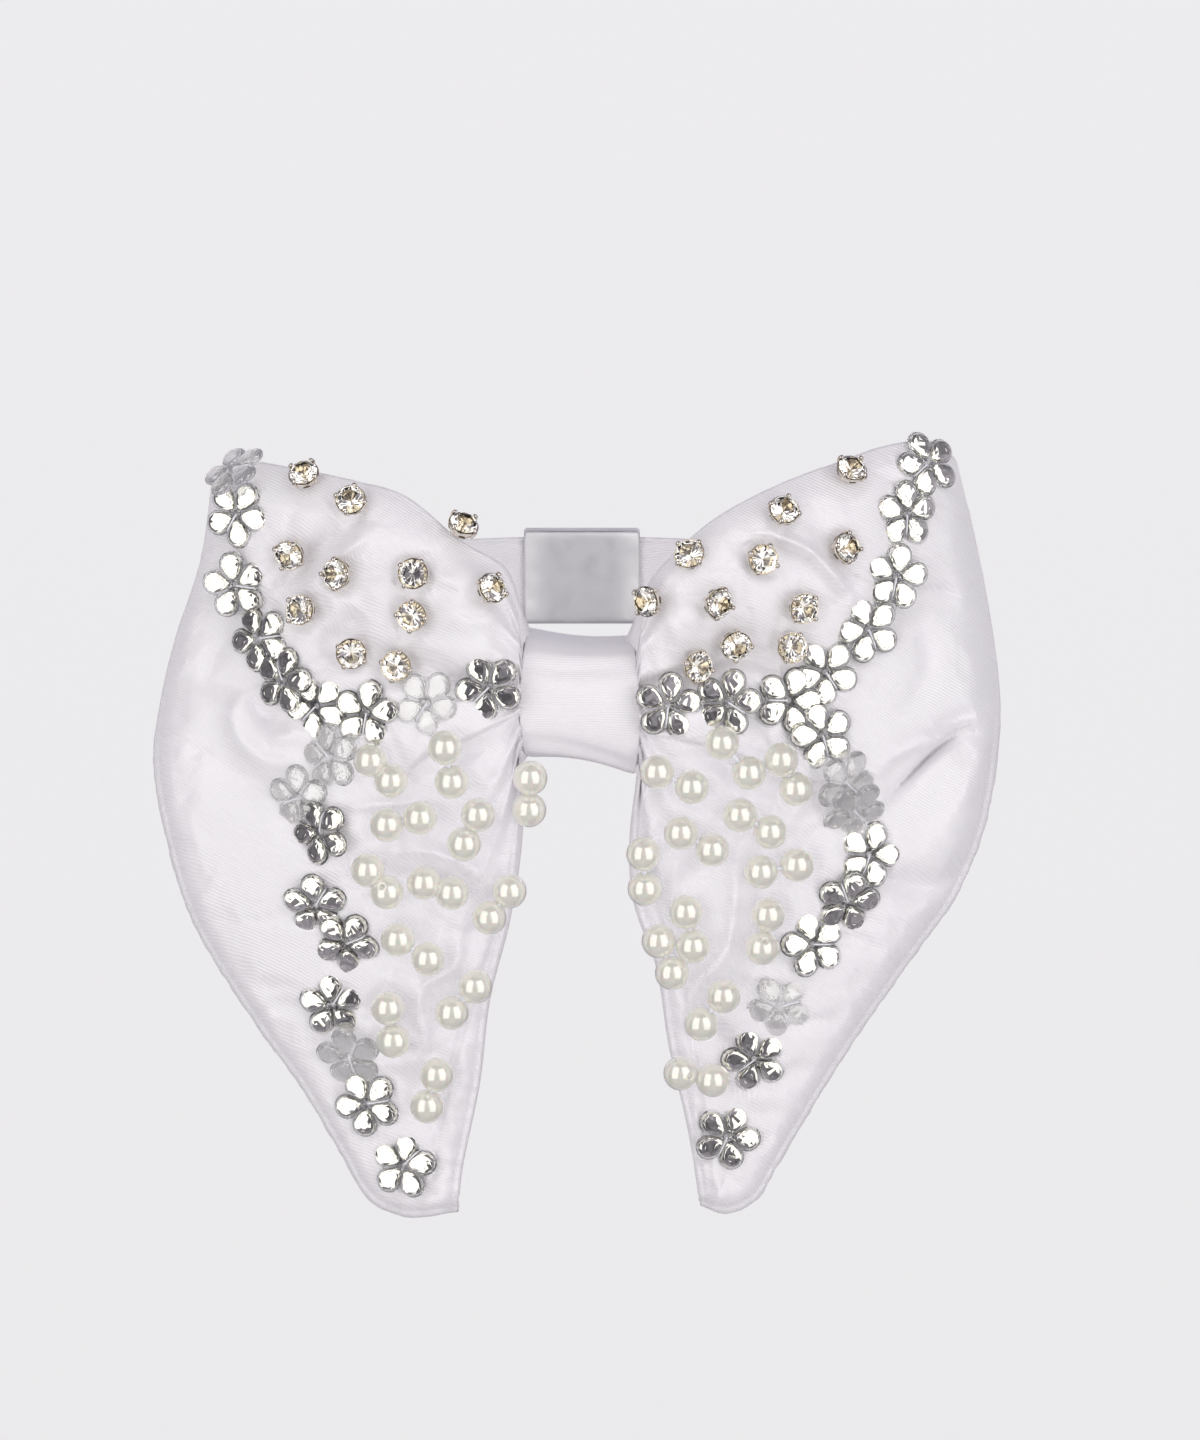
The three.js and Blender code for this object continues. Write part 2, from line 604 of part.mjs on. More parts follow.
// A straight bar from one point to another, flat side towards facing.
function barGeometry(from, to, facing) {
  const along = to.clone().sub(from);
  const length = along.length();
  along.normalize();
  const side = along.clone().cross(facing).normalize();
  const basis = new THREE.Matrix4().makeBasis(along, side, along.clone().cross(side));
  const middle = from.clone().lerp(to, 0.5);
  return new THREE.BoxGeometry(length, thread.width, thread.height).applyMatrix4(basis.setPosition(middle));
}

// A trail: its flowers, and the thread between those that don't touch, joined into one body.
function trailGeometry(wing, flowers, pairs) {
  const stones = flowers.map((row) => {
    const lift = clearLift(wing, row, flower.shoulderRadius, flowerHeights.lift);
    return stoneFrame(wing, row, lift);
  });
  const solids = stones.map((stone) => solidOf(flowerGeometry().applyMatrix4(stone.frame)));
  const parts = [...solids];
  for (const [first, second] of pairs) {
    if (solids[first].intersect(solids[second]).volume() > thread.leastJoin) continue;
    const along = stones[second].position.clone().sub(stones[first].position).setLength(thread.from);
    const [start, end] = [stones[first], stones[second]].map((stone) => (
      stone.position.clone().addScaledVector(stone.facing, thread.above)));
    start.add(along);
    end.sub(along);
    const facing = stones[first].facing.clone().add(stones[second].facing);
    parts.push(solidOf(barGeometry(start, end, facing)));
  }
  return geometryOf(wasm.Manifold.union(parts));
}

// Two pearls and the stitch between them, joined into one body.
function pearlPairGeometry(wing, row) {
  const places = [{ across: row.across1, up: row.up1 }, { across: row.across2, up: row.up2 }];
  const centres = places.map((place) => {
    const lift = clearLift(wing, place, pearl.radius / 3, pearl.lift) + pearl.radius;
    return stoneFrame(wing, place, lift).position;
  });
  const along = centres[1].clone().sub(centres[0]);
  const poleAxis = new THREE.Vector3(0, 1, 0);
  const turn = new THREE.Quaternion().setFromUnitVectors(poleAxis, along.clone().normalize());
  const beads = centres.map((centre) => {
    const bead = new THREE.SphereGeometry(pearl.radius, pearl.sides, pearl.bands);
    return solidOf(bead.applyQuaternion(turn).translate(centre.x, centre.y, centre.z));
  });
  const middle = centres[0].clone().lerp(centres[1], 0.5);
  const reach = along.length() - pearl.radius;
  const { stitchRadius, stitchSides } = pearl;
  const stitch = new THREE.CylinderGeometry(stitchRadius, stitchRadius, reach, stitchSides);
  const link = solidOf(stitch.applyQuaternion(turn).translate(middle.x, middle.y, middle.z));
  return geometryOf(wasm.Manifold.union([...beads, link]));
}

const satin = () => new THREE.MeshStandardMaterial({ color: 0xf0edf5, roughness: 0.45, metalness: 0 });
const steel = () => new THREE.MeshStandardMaterial({ color: 0xc9cacc, roughness: 0.25, metalness: 1 });
const foil = () => new THREE.MeshStandardMaterial({ color: 0xb9bec4, roughness: 0.1, metalness: 0.9 });
const glass = () => new THREE.MeshStandardMaterial({ color: 0xe6dfd2, roughness: 0.05, metalness: 0.6 });
const nacre = () => new THREE.MeshStandardMaterial({ color: 0xecebdb, roughness: 0.2, metalness: 0 });

const tie = new THREE.Group();

function addPiece(name, geometry, material) {
  const mesh = new THREE.Mesh(geometry, material);
  mesh.name = name;
  tie.add(mesh);
  return mesh;
}

addPiece("knot_wrap", knotGeometry(), satin());
addPiece("neck_strap", strapGeometry(), satin());
addPiece("strap_clasp", claspGeometry(), steel()).position.y = clasp.behind;

// One wing with everything that is sewn to it
function addSide(name, wing, flowers, pairs, crystals, pearls) {
  addPiece(`${name}_wing`, wingGeometry(wing), satin());
  addPiece(`${name}_flower_trail`, trailGeometry(wing, flowers, pairs), foil());
  crystals.forEach((row, i) => {
    const number = String(i + 1).padStart(2, "0");
    const lift = clearLift(wing, row, crystal.footRadius, crystal.lift);
    const mesh = addPiece(`${name}_crystal_${number}`, crystalGeometry(), glass());
    mesh.applyMatrix4(stoneFrame(wing, row, lift).frame);
  });
  pearls.forEach((row, i) => {
    const number = String(i + 1).padStart(2, "0");
    addPiece(`${name}_pearl_pair_${number}`, pearlPairGeometry(wing, row), nacre());
  });
}
addSide("left", prepareWing(leftWing, -1), leftFlowers, leftThread, leftCrystals, leftPearls);
addSide("right", prepareWing(rightWing, 1), rightFlowers, rightThread, rightCrystals, rightPearls);

export default tie;
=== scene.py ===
import math

import bpy
import numpy as np
from mathutils import Matrix


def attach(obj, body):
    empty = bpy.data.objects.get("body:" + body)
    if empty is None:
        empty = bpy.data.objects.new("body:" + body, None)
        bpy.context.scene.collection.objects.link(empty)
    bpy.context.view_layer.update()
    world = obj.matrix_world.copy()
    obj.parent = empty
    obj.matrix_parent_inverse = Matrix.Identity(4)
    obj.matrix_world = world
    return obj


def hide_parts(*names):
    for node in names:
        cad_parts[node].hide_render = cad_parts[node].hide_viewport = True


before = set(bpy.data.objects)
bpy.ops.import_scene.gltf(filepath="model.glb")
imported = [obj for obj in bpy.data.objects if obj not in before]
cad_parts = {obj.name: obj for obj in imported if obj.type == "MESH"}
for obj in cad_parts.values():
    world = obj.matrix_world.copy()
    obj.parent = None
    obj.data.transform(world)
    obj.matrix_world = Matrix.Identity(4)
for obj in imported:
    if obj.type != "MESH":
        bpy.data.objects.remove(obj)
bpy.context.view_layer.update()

# A white satin bow tie sewn with flower stones, crystals and pearls. Shapes are worked out in
# millimetres and put into the meshes in metres: X right, Y away from the viewer, Z up.
mm = 0.001
rng = np.random.default_rng(7)

print("stage: front view and tables")

# The front view: outlines and stones are placed across and up from the aim point, in
# millimetres in the plane of the knot's face, seen from 1.4 m away and slightly above.
frontView = {"distance": 1400.0, "tilt": math.radians(10), "knotFace": -83.0, "aimUp": 1.4}
viewRight = np.array([1.0, 0.0, 0.0])
viewUp = np.array([0.0, math.sin(frontView["tilt"]), math.cos(frontView["tilt"])])
viewForward = np.array([0.0, math.cos(frontView["tilt"]), -math.sin(frontView["tilt"])])
viewAim = np.array([0.0, frontView["knotFace"], frontView["aimUp"]])
viewEye = viewAim - frontView["distance"] * viewForward


# Rows of numbers as a dictionary of arrays, one for each named column.
def columns(names, rows):
    return dict(zip(names.split(), np.array(rows, float).T))


# Points from their coordinates, which are arrays or numbers that fit each other.
def gridOf(*coordinates):
    return np.stack(np.broadcast_arrays(*coordinates), axis=-1)


# A profile of radii and heights carried round Z.
def revolved(radii, heights, angle):
    return gridOf(radii * np.cos(angle), radii * np.sin(angle), heights)


# Angles of a whole turn in equal steps.
def turnSteps(count):
    return np.linspace(0, 2 * math.pi, count, endpoint=False)


# Vectors scaled to length 1.
def unit(vectors):
    return vectors / np.linalg.norm(vectors, axis=-1, keepdims=True)


# The point at depth y on the sight line through a place: eye + ray scaled until y is reached.
def sightPoint(across, up, y):
    ray = viewAim + across[..., None] * viewRight + up[..., None] * viewUp - viewEye
    return viewEye + ray * ((y - viewEye[1]) / ray[..., 1])[..., None]


# The place at which a point is seen: its ray scaled to the plane of the knot's face.
def seenAt(points):
    ray = points - viewEye
    scale = frontView["distance"] / (ray @ viewForward)
    return (ray @ viewRight) * scale, (ray @ viewUp) * scale


# A line read at shares of its length.
def resample(line, shares):
    length = np.concatenate([[0], np.cumsum(np.linalg.norm(np.diff(line, axis=0), axis=1))])
    return np.stack([np.interp(shares * length[-1], length, values) for values in line.T], axis=-1)


# Centripetal Catmull-Rom curve through the places, read at equal steps of its length.
def smoothLine(places, count):
    inner = np.array(places, float)
    p = np.vstack([2 * inner[0] - inner[1], inner, 2 * inner[-1] - inner[-2]])
    gap = np.sqrt(np.linalg.norm(np.diff(p, axis=0), axis=1))[:, None]
    p0, p1, p2, p3 = p[:-3], p[1:-2], p[2:-1], p[3:]
    g0, g1, g2 = gap[:-2], gap[1:-1], gap[2:]
    m1 = ((p1 - p0) / g0 - (p2 - p0) / (g0 + g1) + (p2 - p1) / g1) * g1
    m2 = ((p2 - p1) / g1 - (p3 - p1) / (g1 + g2) + (p3 - p2) / g2) * g1
    t = np.linspace(0, 1, 24, endpoint=False)[None, :, None]
    hermite = (p1[:, None] * (1 - 3 * t**2 + 2 * t**3) + p2[:, None] * (3 * t**2 - 2 * t**3)
               + m1[:, None] * (t - 2 * t**2 + t**3) + m2[:, None] * (t**3 - t**2))
    return resample(np.vstack([hermite.reshape(-1, inner.shape[1]), inner[-1]]), np.linspace(0, 1, count))


# Distance from places to a line, the share of the line there, and on which side each place is:
# the nearest of all foots of perpendiculars on the line's segments.
def nearestOnLine(line, across, up):
    if not across.size:
        return {name: np.zeros(across.shape) for name in ("distance", "share", "above", "left", "past")}
    start, step = line[:-1], np.diff(line, axis=0)
    px, pz = across[..., None] - start[:, 0], up[..., None] - start[:, 1]
    whole = (px * step[:, 0] + pz * step[:, 1]) / (step**2).sum(axis=1)
    t = np.clip(whole, 0, 1)
    dx, dz = px - t * step[:, 0], pz - t * step[:, 1]
    distance = np.hypot(dx, dz)
    best = distance.argmin(axis=-1)[..., None]
    pick = lambda values: np.take_along_axis(np.broadcast_to(values, distance.shape), best, -1)[..., 0]
    index = best[..., 0]
    return {"distance": pick(distance), "share": (index + pick(t)) / len(step), "above": pick(dz) > 0,
            "left": pick(step[:, 0] * pz - step[:, 1] * px) > 0,
            "past": ((index == 0) & (pick(whole) < 0)) | ((index == len(step) - 1) & (pick(whole) > 1))}


# The cloth of the wings, as in the solid part; backing is what the back keeps behind a deep fold,
# spread and smoothed over steps of the fine grid
sheetForm = {"front": -82.6, "upperRadius": 92.0, "lowerRadius": 170.0, "upperFrom": 20.0, "lowerFrom": -40.0,
             "thickness": 2.6, "edge": 1.3, "edgeReach": 6.0, "gathered": 9.5, "gatherReach": 11.0,
             "backing": 0.7, "backingSteps": 10, "facingSteps": 60,
             "pinchDepth": 1.3, "pinchFrom": 9.4, "pinchReach": 4.0}
# slope at the edge, which side is outside, and shares of the edge with the widths of its roll there
edgeRoll = {"top": (0.95, 1, ([0, 1], [8, 6])), "outer": (2.1, 1, None), "inner": (1.05, -1, ([0, 1], [5, 5]))}
waist = {"halfHeight": 7.6, "front": -80.4, "back": -70.2, "rounding": 3.2, "pleat": 0.5,
         "stations": (0.2, 3.3, 6.4, 9.5)}

# The wings: paths of places across and up; lobes are across, up, width, height and swelling;
# folds and fine creases are height, width above, width below and path
leftWing = {
    "name": "left", "sign": -1, "outerRoll": ([0, 0.1, 0.3, 0.6, 1], [2.6, 2.4, 3.4, 3.0, 2.8]),
    "top": [(-10.5, 14.5), (-13.3, 22.6), (-20.9, 27.9), (-30.5, 35.5), (-38.5, 37.9),
            (-50.2, 40.3), (-58, 41.2), (-63.4, 39)],
    "outer": [(-63.4, 39), (-65.5, 24.5), (-69.9, 10.9), (-72.3, 0.8), (-73.6, -9.7), (-71.8, -21.6),
              (-66.9, -37.6), (-55.2, -56.6), (-48.2, -66.2), (-41.4, -77.6), (-36.2, -85.9), (-30, -88.7),
              (-21.2, -87.9)],
    "inner": [(-10.5, -11), (-10.6, -24.1), (-12.4, -37.6), (-15.7, -51.2), (-17.5, -66), (-20.5, -80.9),
              (-21.2, -87.9)],
    "lobes": [(-40, 22, 20, 13, 4), (-42, -28, 22, 26, 4.5), (-84, 4, 17, 34, 5), (-17.5, 13, 6, 9, 2.4),
              (-17, -15, 6, 9, 2.4)],
    "folds": [
        (-1.7, 5.0, 2.6, [(-9.8, 2.9), (-20.3, 4), (-34, 6.4)]),
        (2.0, 5.0, 1.6, [(-10.2, -2.1), (-20.3, -7.1), (-30.5, -12.2)]),
        (-1.6, 3.0, 3.5, [(-63, -7.9), (-59.8, -12.2), (-52, -16.2)]),
        (-1.6, 3.0, 3.5, [(-40, 29.8), (-47.8, 24.3), (-53.3, 18.3)]),
        (1.6, 4.0, 2.4, [(-31.7, -26), (-25.9, -25.9), (-16.7, -31.2)]),
        (1.5, 4.0, 3.0, [(-20.5, -38.8), (-26.9, -49), (-29.1, -60.9)])],
    "creases": [
        (-1.8, 1.5, 0.8, [(-12, 3.2), (-20.5, 3.9), (-27.6, 6.2), (-34, 8)]),
        (-2.6, 0.4, 3.2, [(-10.2, -2.1), (-20.3, -7.1), (-26.9, -9.7), (-29.8, -12.8)]),
        (-1.9, 1.4, 2.4, [(-38, 31.5), (-46, 26), (-50.5, 21), (-53.5, 17)]),
        (1.5, 1.8, 1.0, [(-36, 29), (-43.5, 23.5), (-47.5, 18.5)]),
        (-2.2, 2.2, 1.6, [(-37.5, 16), (-41, 12), (-45.5, 8.4)]),
        (1.4, 1.6, 1.6, [(-57.4, 2.4), (-59.8, -2.2), (-58, -7.1), (-53.6, -10.2), (-47.5, -9.4)]),
        (-2.6, 2.0, 1.6, [(-57.2, 1.6), (-55.6, -1.6), (-52.4, -3.4)]),
        (1.4, 1.8, 1.8, [(-54.4, -6.3), (-50.6, -6), (-47.2, -4.6)]),
        (1.2, 1.2, 0.7, [(-38.8, -18.3), (-32, -17.6), (-26.4, -16.7)]),
        (1.4, 1.3, 0.8, [(-31.7, -26), (-25.9, -25.9), (-18.3, -29.1), (-16.2, -31.6)]),
        (1.3, 1.0, 1.0, [(-20.5, -38.8), (-21.6, -45.7), (-26.9, -49), (-27.4, -54.3), (-26.4, -58.1),
                         (-29.1, -61.9)]),
        (-0.8, 1.1, 1.5, [(-23, -40.5), (-24, -45), (-29, -47)]),
        (-0.9, 0.5, 0.7, [(-13.3, -36), (-15.2, -42), (-20.5, -56.6), (-24.5, -72.8), (-25.5, -82)])],
}
rightWing = {
    "name": "right", "sign": 1,
    "outerRoll": ([0, 0.12, 0.28, 0.36, 0.5, 1], [3.0, 5.0, 5.8, 3.2, 4.6, 2.8]),
    "top": [(10.5, 14.5), (13.1, 21.2), (21.7, 30.3), (33.8, 37.1), (44, 41), (54.1, 44.3), (61, 44.6),
            (64.9, 41.5)],
    "outer": [(64.9, 41.5), (68.4, 26.9), (71.4, 10.2), (72.4, -2.1), (70, -20.5), (64.8, -33.4), (57.6, -43.6),
              (46.6, -59.3), (37.9, -73.3), (33.8, -80.2), (30.4, -85.8), (25, -88.2), (20.8, -86.8)],
    "inner": [(10.5, -13.4), (9.2, -25), (9.8, -35), (13.4, -45.7), (15.5, -59.3), (18.8, -74.3),
              (20.8, -86.8)],
    "lobes": [(40, 23, 20, 13, 4), (40, -28, 22, 24, 4.5), (84, 4, 17, 34, 5), (17.5, 14, 6, 9, 2.4),
              (17, -18, 6, 9, 2.4)],
    "folds": [
        (-2.6, 5.0, 2.6, [(9.8, 2.1), (27.2, 7.6), (35, 6)]),
        (2.0, 5.0, 1.6, [(10, -5.7), (20.7, -7.4), (46.6, -15.2)]),
        (-1.4, 4.0, 2.6, [(50, -17.5), (58.3, -11.7), (68.3, -5.2)]),
        (1.6, 3.0, 2.2, [(33.8, 28.8), (40, 25.9), (46.6, 18.3)]),
        (-1.5, 3.0, 3.5, [(53.6, -31.2), (61.6, -31.7), (66.6, -27.4)]),
        (1.6, 4.0, 3.0, [(27.1, -26.9), (25, -43.1), (17.4, -54.3)])],
    "creases": [
        (-1.9, 1.6, 1.1, [(10.5, 2.3), (20, 5), (27.2, 8.1), (31.9, 5.8), (35.5, 6.4)]),
        (1.2, 0.9, 0.7, [(32.5, 29.2), (40, 25.9), (44, 21.7), (47.2, 17.4)]),
        (-1.2, 1.0, 1.8, [(31.8, 27.2), (38.6, 23.9), (42.4, 20), (44.8, 16.6)]),
        (1.8, 2.6, 0.9, [(51.5, -12.5), (53.4, -10), (61.6, -6.2), (66.5, -4.4)]),
        (-2.8, 0.5, 0.9, [(52.9, -16.4), (55.5, -14.1), (58.4, -11), (61.6, -7.9), (65.1, -5.4), (67.6, -4.7)]),
        (1.2, 0.8, 2.4, [(56.6, -14.2), (61.6, -10), (66.6, -6.9)]),
        (-2.5, 2.0, 0.9, [(61.5, -5.4), (65, -3.6), (68.6, -2.4)]),
        (2.0, 2.2, 2.2, [(70, -3.6), (68, -11), (65.4, -17.6), (61.8, -23)]),
        (-1.1, 1.5, 1.6, [(53, -31), (61.6, -31.7), (67, -27)]),
        (-2.2, 0.4, 3.2, [(10, -5.7), (20.7, -7.4), (37.9, -13.4), (47.4, -15.4)]),
        (1.3, 1.1, 1.1, [(27.1, -26.9), (25, -43.1), (19.1, -50), (17.2, -55)]),
        (1.0, 1.0, 1.0, [(16.9, -26.9), (15.7, -37)]),
        (-0.6, 0.9, 1.2, [(17.6, -70), (19.4, -77), (20.4, -86)]),
        (-0.8, 0.5, 0.7, [(12, -30), (13.2, -36), (16.8, -46), (19.5, -60), (21.6, -75), (22.6, -84)]),
        (-0.8, 1.8, 2.0, [(58, 16), (60, 6), (55.5, -3)])],
}

# Flower stones: spin is the direction of one petal, faceUp and faceOut lean the stone on the cloth
leftFlowers = columns("across up spin faceUp faceOut", [
    (-59.3, 39.3, 20, 40, -6), (-59, 32.4, -85, -3, -12), (-59.3, 20.2, 101, 0, -20), (-55, 11, -100, 0, 1.5),
    (-50.9, 3.8, 75, 0, 9), (-45.3, -0.7, 45, 0, 0), (-36.7, -1.9, 80, -4, -4), (-26.2, -0.2, 57, -6, 0),
    (-15.7, 2.6, 45, -8, 6), (-42.9, -9.5, 100, -6, 14), (-48.3, -16.4, 95, -12, 6), (-44.5, -22.4, 43, -4, 16),
    (-45.5, -35, 97, -9, 0), (-40.2, -41.4, 62, -9, 0), (-42.6, -52.1, 95, 2, -4.5),
    (-39.7, -60.9, 105, -18, 0), (-36.6, -69.1, 47, 6, 3), (-30.3, -79.8, 80, 9, 6)])
rightFlowers = columns("across up spin faceUp faceOut", [
    (59.7, 41, 45, 2, -12), (56, 32.4, 90, -4, -5), (54.3, 21.6, 79, 3, -14), (49.5, 12.6, 41, 4, -8),
    (42.2, 5.2, 52, 0, -7), (35.9, 0.3, 70, 0, -3), (25.5, 0, 75, -4, -8), (15.2, -0.7, 83, -12, 11),
    (41.6, -5.7, 35, -8, 0), (45.7, -13.8, 60, -16, 8), (47.2, -18.4, 50, -38, 0), (49.7, -26.2, 71, 5, 0),
    (46, -34.3, 72, -14, 0), (40, -41.7, 34, 7, 4), (34.3, -52.2, 47, 0, 0), (30, -61.4, 36, 0, 0),
    (25.3, -74.8, 65, 3, 3)])
leftCrystals = columns("across up spin", [
    (-47.2, 38.1, 10), (-39.3, 34.1, 30), (-20.7, 29.1, 0), (-49.5, 26, 20), (-41, 22.1, 45), (-28.6, 22.1, 10),
    (-16.2, 19.1, 25), (-47.4, 15.7, 0), (-28.6, 15.2, 40), (-39.5, 8.8, 15), (-31.3, 6.4, 30)])
rightCrystals = columns("across up spin", [
    (46.2, 39, 10), (34.7, 32.2, 30), (19.3, 24.8, 0), (31.2, 24.8, 20), (44.7, 26.2, 45), (12.8, 17.6, 10),
    (22.8, 17.4, 25), (37.9, 16.4, 0), (26.4, 10.5, 40), (36, 9.3, 15), (19.5, 6.2, 30)])
leftPearls = columns("across1 up1 across2 up2", [
    (-36.1, -10.1, -32.6, -13.6), (-23.3, -7.9, -22.1, -13.8), (-33.3, -21.2, -27.6, -20),
    (-17.6, -19.5, -20, -24.5), (-36.6, -29, -33.3, -32.8), (-26.9, -31.2, -22.1, -32.9),
    (-12.2, -32.6, -15.7, -37.2), (-31.4, -41, -26.2, -44.3), (-33.1, -52.8, -32.2, -58.4),
    (-18.1, -49.1, -22.1, -53.6), (-24.7, -64.3, -26.4, -69.7), (-8.6, -13.1, -8.8, -18.6)])
rightPearls = columns("across1 up1 across2 up2", [
    (24.5, -7.1, 29.1, -12.2), (34.7, -10, 37.2, -15), (13.3, -12.1, 19.3, -14.7), (27.6, -19.5, 32.8, -22.4),
    (17.4, -22.6, 22.8, -25.5), (11, -26.2, 11.2, -32.2), (31.2, -29.3, 37.4, -28.1),
    (18.3, -36.2, 19.5, -42.1), (13.6, -41.2, 15.9, -46.7), (32.4, -36.7, 31.4, -42.4),
    (24.7, -50.7, 20.9, -55.5), (17.4, -64, 22.9, -65.2)])
# turned pearls show their drilled holes: pair and pearl, counted from 0
leftWing.update(flowers=leftFlowers, crystals=leftCrystals, pearls=leftPearls,
                clearFlowers=[0, 7, 9, 10, 15], turnedPearls=[(4, 1)])
rightWing.update(flowers=rightFlowers, crystals=rightCrystals, pearls=rightPearls,
                 clearFlowers=[9, 10, 14], turnedPearls=[(10, 0), (9, 1), (11, 0)])


# A smooth step from 0 at low to 1 at high.
def smoothStep(value, low, high):
    t = np.clip((value - low) / (high - low), 0, 1)
    return t * t * (3 - 2 * t)


# A bell of height 1 that falls to 1/e at one width from its middle.
def bell(distance, width):
    return np.exp(-((distance / width) ** 2))


# Everything that sews the cloth down: the middles of the flowers and crystals, and both pearls.
def stitchPlaces(wing):
    kinds = (("flowers", ""), ("crystals", ""), ("pearls", "1"), ("pearls", "2"))
    return np.vstack([gridOf(wing[kind]["across" + end], wing[kind]["up" + end]) for kind, end in kinds])


# The small pulls between neighbouring stitches, and the dimple at each
pullForm = {"reach": 15.0, "leastReach": 4.5, "share": 0.5, "height": 0.34, "width": 1.5,
            "dimple": 0.28, "dimpleWidth": 2.4}


# The sampled edges and folds of a wing, and a share of all pairs of stitches that are near enough.
def prepareWing(wing):
    wing["lines"] = {name: smoothLine(wing[name], 60) for name in edgeRoll}
    for kind in ("folds", "creases"):
        wing[kind + "Lines"] = [(h, a, b, smoothLine(path, 16)) for h, a, b, path in wing[kind]]
    stitches = wing["stitches"] = stitchPlaces(wing)
    gaps = np.linalg.norm(stitches[:, None] - stitches[None], axis=-1)
    pairs = np.array(np.nonzero(np.triu((gaps < pullForm["reach"]) & (gaps > pullForm["leastReach"]), 1)))
    first, second = pairs[:, rng.random(pairs.shape[1]) < pullForm["share"]]
    wing["pulls"] = (stitches[first], stitches[second], rng.normal(0, 1, len(first)))


# Distances from places to each edge of a wing, and on which side of it they lie.
def nearEdges(wing, across, up):
    return {name: nearestOnLine(wing["lines"][name], across, up) for name in edgeRoll}


# Distance from places to the nearest edge.
def seamDistance(edges):
    return np.min([near["distance"] for near in edges.values()], axis=0)


# Distances from places to every stitch.
def stitchDistances(wing, across, up):
    return np.hypot(across[..., None] - wing["stitches"][:, 0], up[..., None] - wing["stitches"][:, 1])


# Main depth of the front of the cloth: bent round the neck, swelled by lobes, rolled back at
# the edges, creased by folds and pinched at the knot.
def mainDepth(wing, across, up, edges=None):
    form = sheetForm
    upper = smoothStep(up, form["lowerFrom"], form["upperFrom"])
    radius = form["lowerRadius"] + (form["upperRadius"] - form["lowerRadius"]) * upper
    depth = form["front"] + across**2 / (2 * radius)
    for lobeAcross, lobeUp, wide, tall, swelling in wing["lobes"]:
        x, z = (across - lobeAcross) / wide, (up - lobeUp) / tall
        depth = depth - swelling * np.exp(-(x * x + z * z) / 2)
    for name, near in (edges or nearEdges(wing, across, up)).items():
        slope, outside, widths = edgeRoll[name]
        side = np.where(near["past"], -1, np.where(near["left"], 1, -1) * wing["sign"] * outside)
        width = np.interp(near["share"], *(widths or wing["outerRoll"]))
        depth = depth + slope * width / 2 * np.maximum(0, 1 + side * near["distance"] / width) ** 2
    depth = depth - foldHeight(wing["foldsLines"], across, up)
    return depth + form["pinchDepth"] * bell(np.abs(across) - form["pinchFrom"], form["pinchReach"])


# Height of folds: each a bell of the distance to its line, of its own width above and below
# the line, fading towards both ends; places further than 3 widths away are left out.
def foldHeight(folds, across, up):
    total = np.zeros(across.shape)
    for height, above, below, line in folds:
        reach = 3 * max(above, below)
        low, high = line.min(axis=0) - reach, line.max(axis=0) + reach
        close = (across > low[0]) & (across < high[0]) & (up > low[1]) & (up < high[1])
        near = nearestOnLine(line, across[close], up[close])
        width = np.where(near["above"], above, below)
        fade = np.sqrt(np.sin(math.pi * np.clip(near["share"], 0.04, 0.96)))
        total[close] += height * fade * bell(near["distance"], width)
    return total


# Small pulls: a dimple at every stitch and shallow ridges and valleys from stitch to stitch, all
# worked out at once as sums of bells of the distance to each stitch and to each line.
def pulledDepth(wing, across, up):
    x, z = across[..., None], up[..., None]
    dimples = bell(stitchDistances(wing, across, up), pullForm["dimpleWidth"])
    first, second, strength = wing["pulls"]
    step = second - first
    share = ((x - first[:, 0]) * step[:, 0] + (z - first[:, 1]) * step[:, 1]) / (step**2).sum(axis=1)
    share = np.clip(share, 0.02, 0.98)
    off = np.hypot(x - first[:, 0] - share * step[:, 0], z - first[:, 1] - share * step[:, 1])
    ridges = strength * np.sin(math.pi * share) * bell(off, pullForm["width"])
    return pullForm["dimple"] * dimples.sum(axis=-1) + pullForm["height"] * ridges.sum(axis=-1)


# Depth of the cloth that carries the stones: its main depth and its pulls.
def clothDepth(wing, across, up, edges=None):
    return mainDepth(wing, across, up, edges) + pulledDepth(wing, across, up)


# The point of that cloth which is seen at a place.
def clothPoint(wing, across, up):
    return sightPoint(across, up, clothDepth(wing, across, up))


# Facing of the cloth: cross product of its slopes across and up, over a span on each side.
def clothFacing(wing, across, up, span):
    alongX = clothPoint(wing, across + span, up) - clothPoint(wing, across - span, up)
    alongZ = clothPoint(wing, across, up + span) - clothPoint(wing, across, up - span)
    return unit(np.cross(alongX, alongZ))


prepareWing(leftWing)
prepareWing(rightWing)

print("stage: materials")


# A material with a Principled shader whose own sockets hold the plain values.
def newMaterial(name, **values):
    material = bpy.data.materials.new(name)
    material.use_nodes = True
    shader = material.node_tree.nodes["Principled BSDF"]
    for socket, value in values.items():
        shader.inputs[socket.replace("_", " ")].default_value = value
    return material, material.node_tree, shader


# A node with its settings: a value goes on the socket of its name, another node's output is
# linked to that socket, and what has no socket is a property of the node.
def addNode(tree, kind, **settings):
    node = tree.nodes.new(kind)
    for name, value in settings.items():
        socket = name.replace("_", " ")
        if socket not in node.inputs:
            setattr(node, name, value)
        elif isinstance(value, bpy.types.NodeSocket):
            tree.links.new(value, node.inputs[socket])
        else:
            node.inputs[socket].default_value = value
    return node


# Result of a Math node, whose inputs are numbers or outputs of other nodes.
def mathNode(tree, operation, *inputs):
    node = addNode(tree, "ShaderNodeMath", operation=operation)
    for socket, value in zip(node.inputs, inputs):
        if isinstance(value, (int, float)):
            socket.default_value = value
        else:
            tree.links.new(value, socket)
    return node.outputs[0]


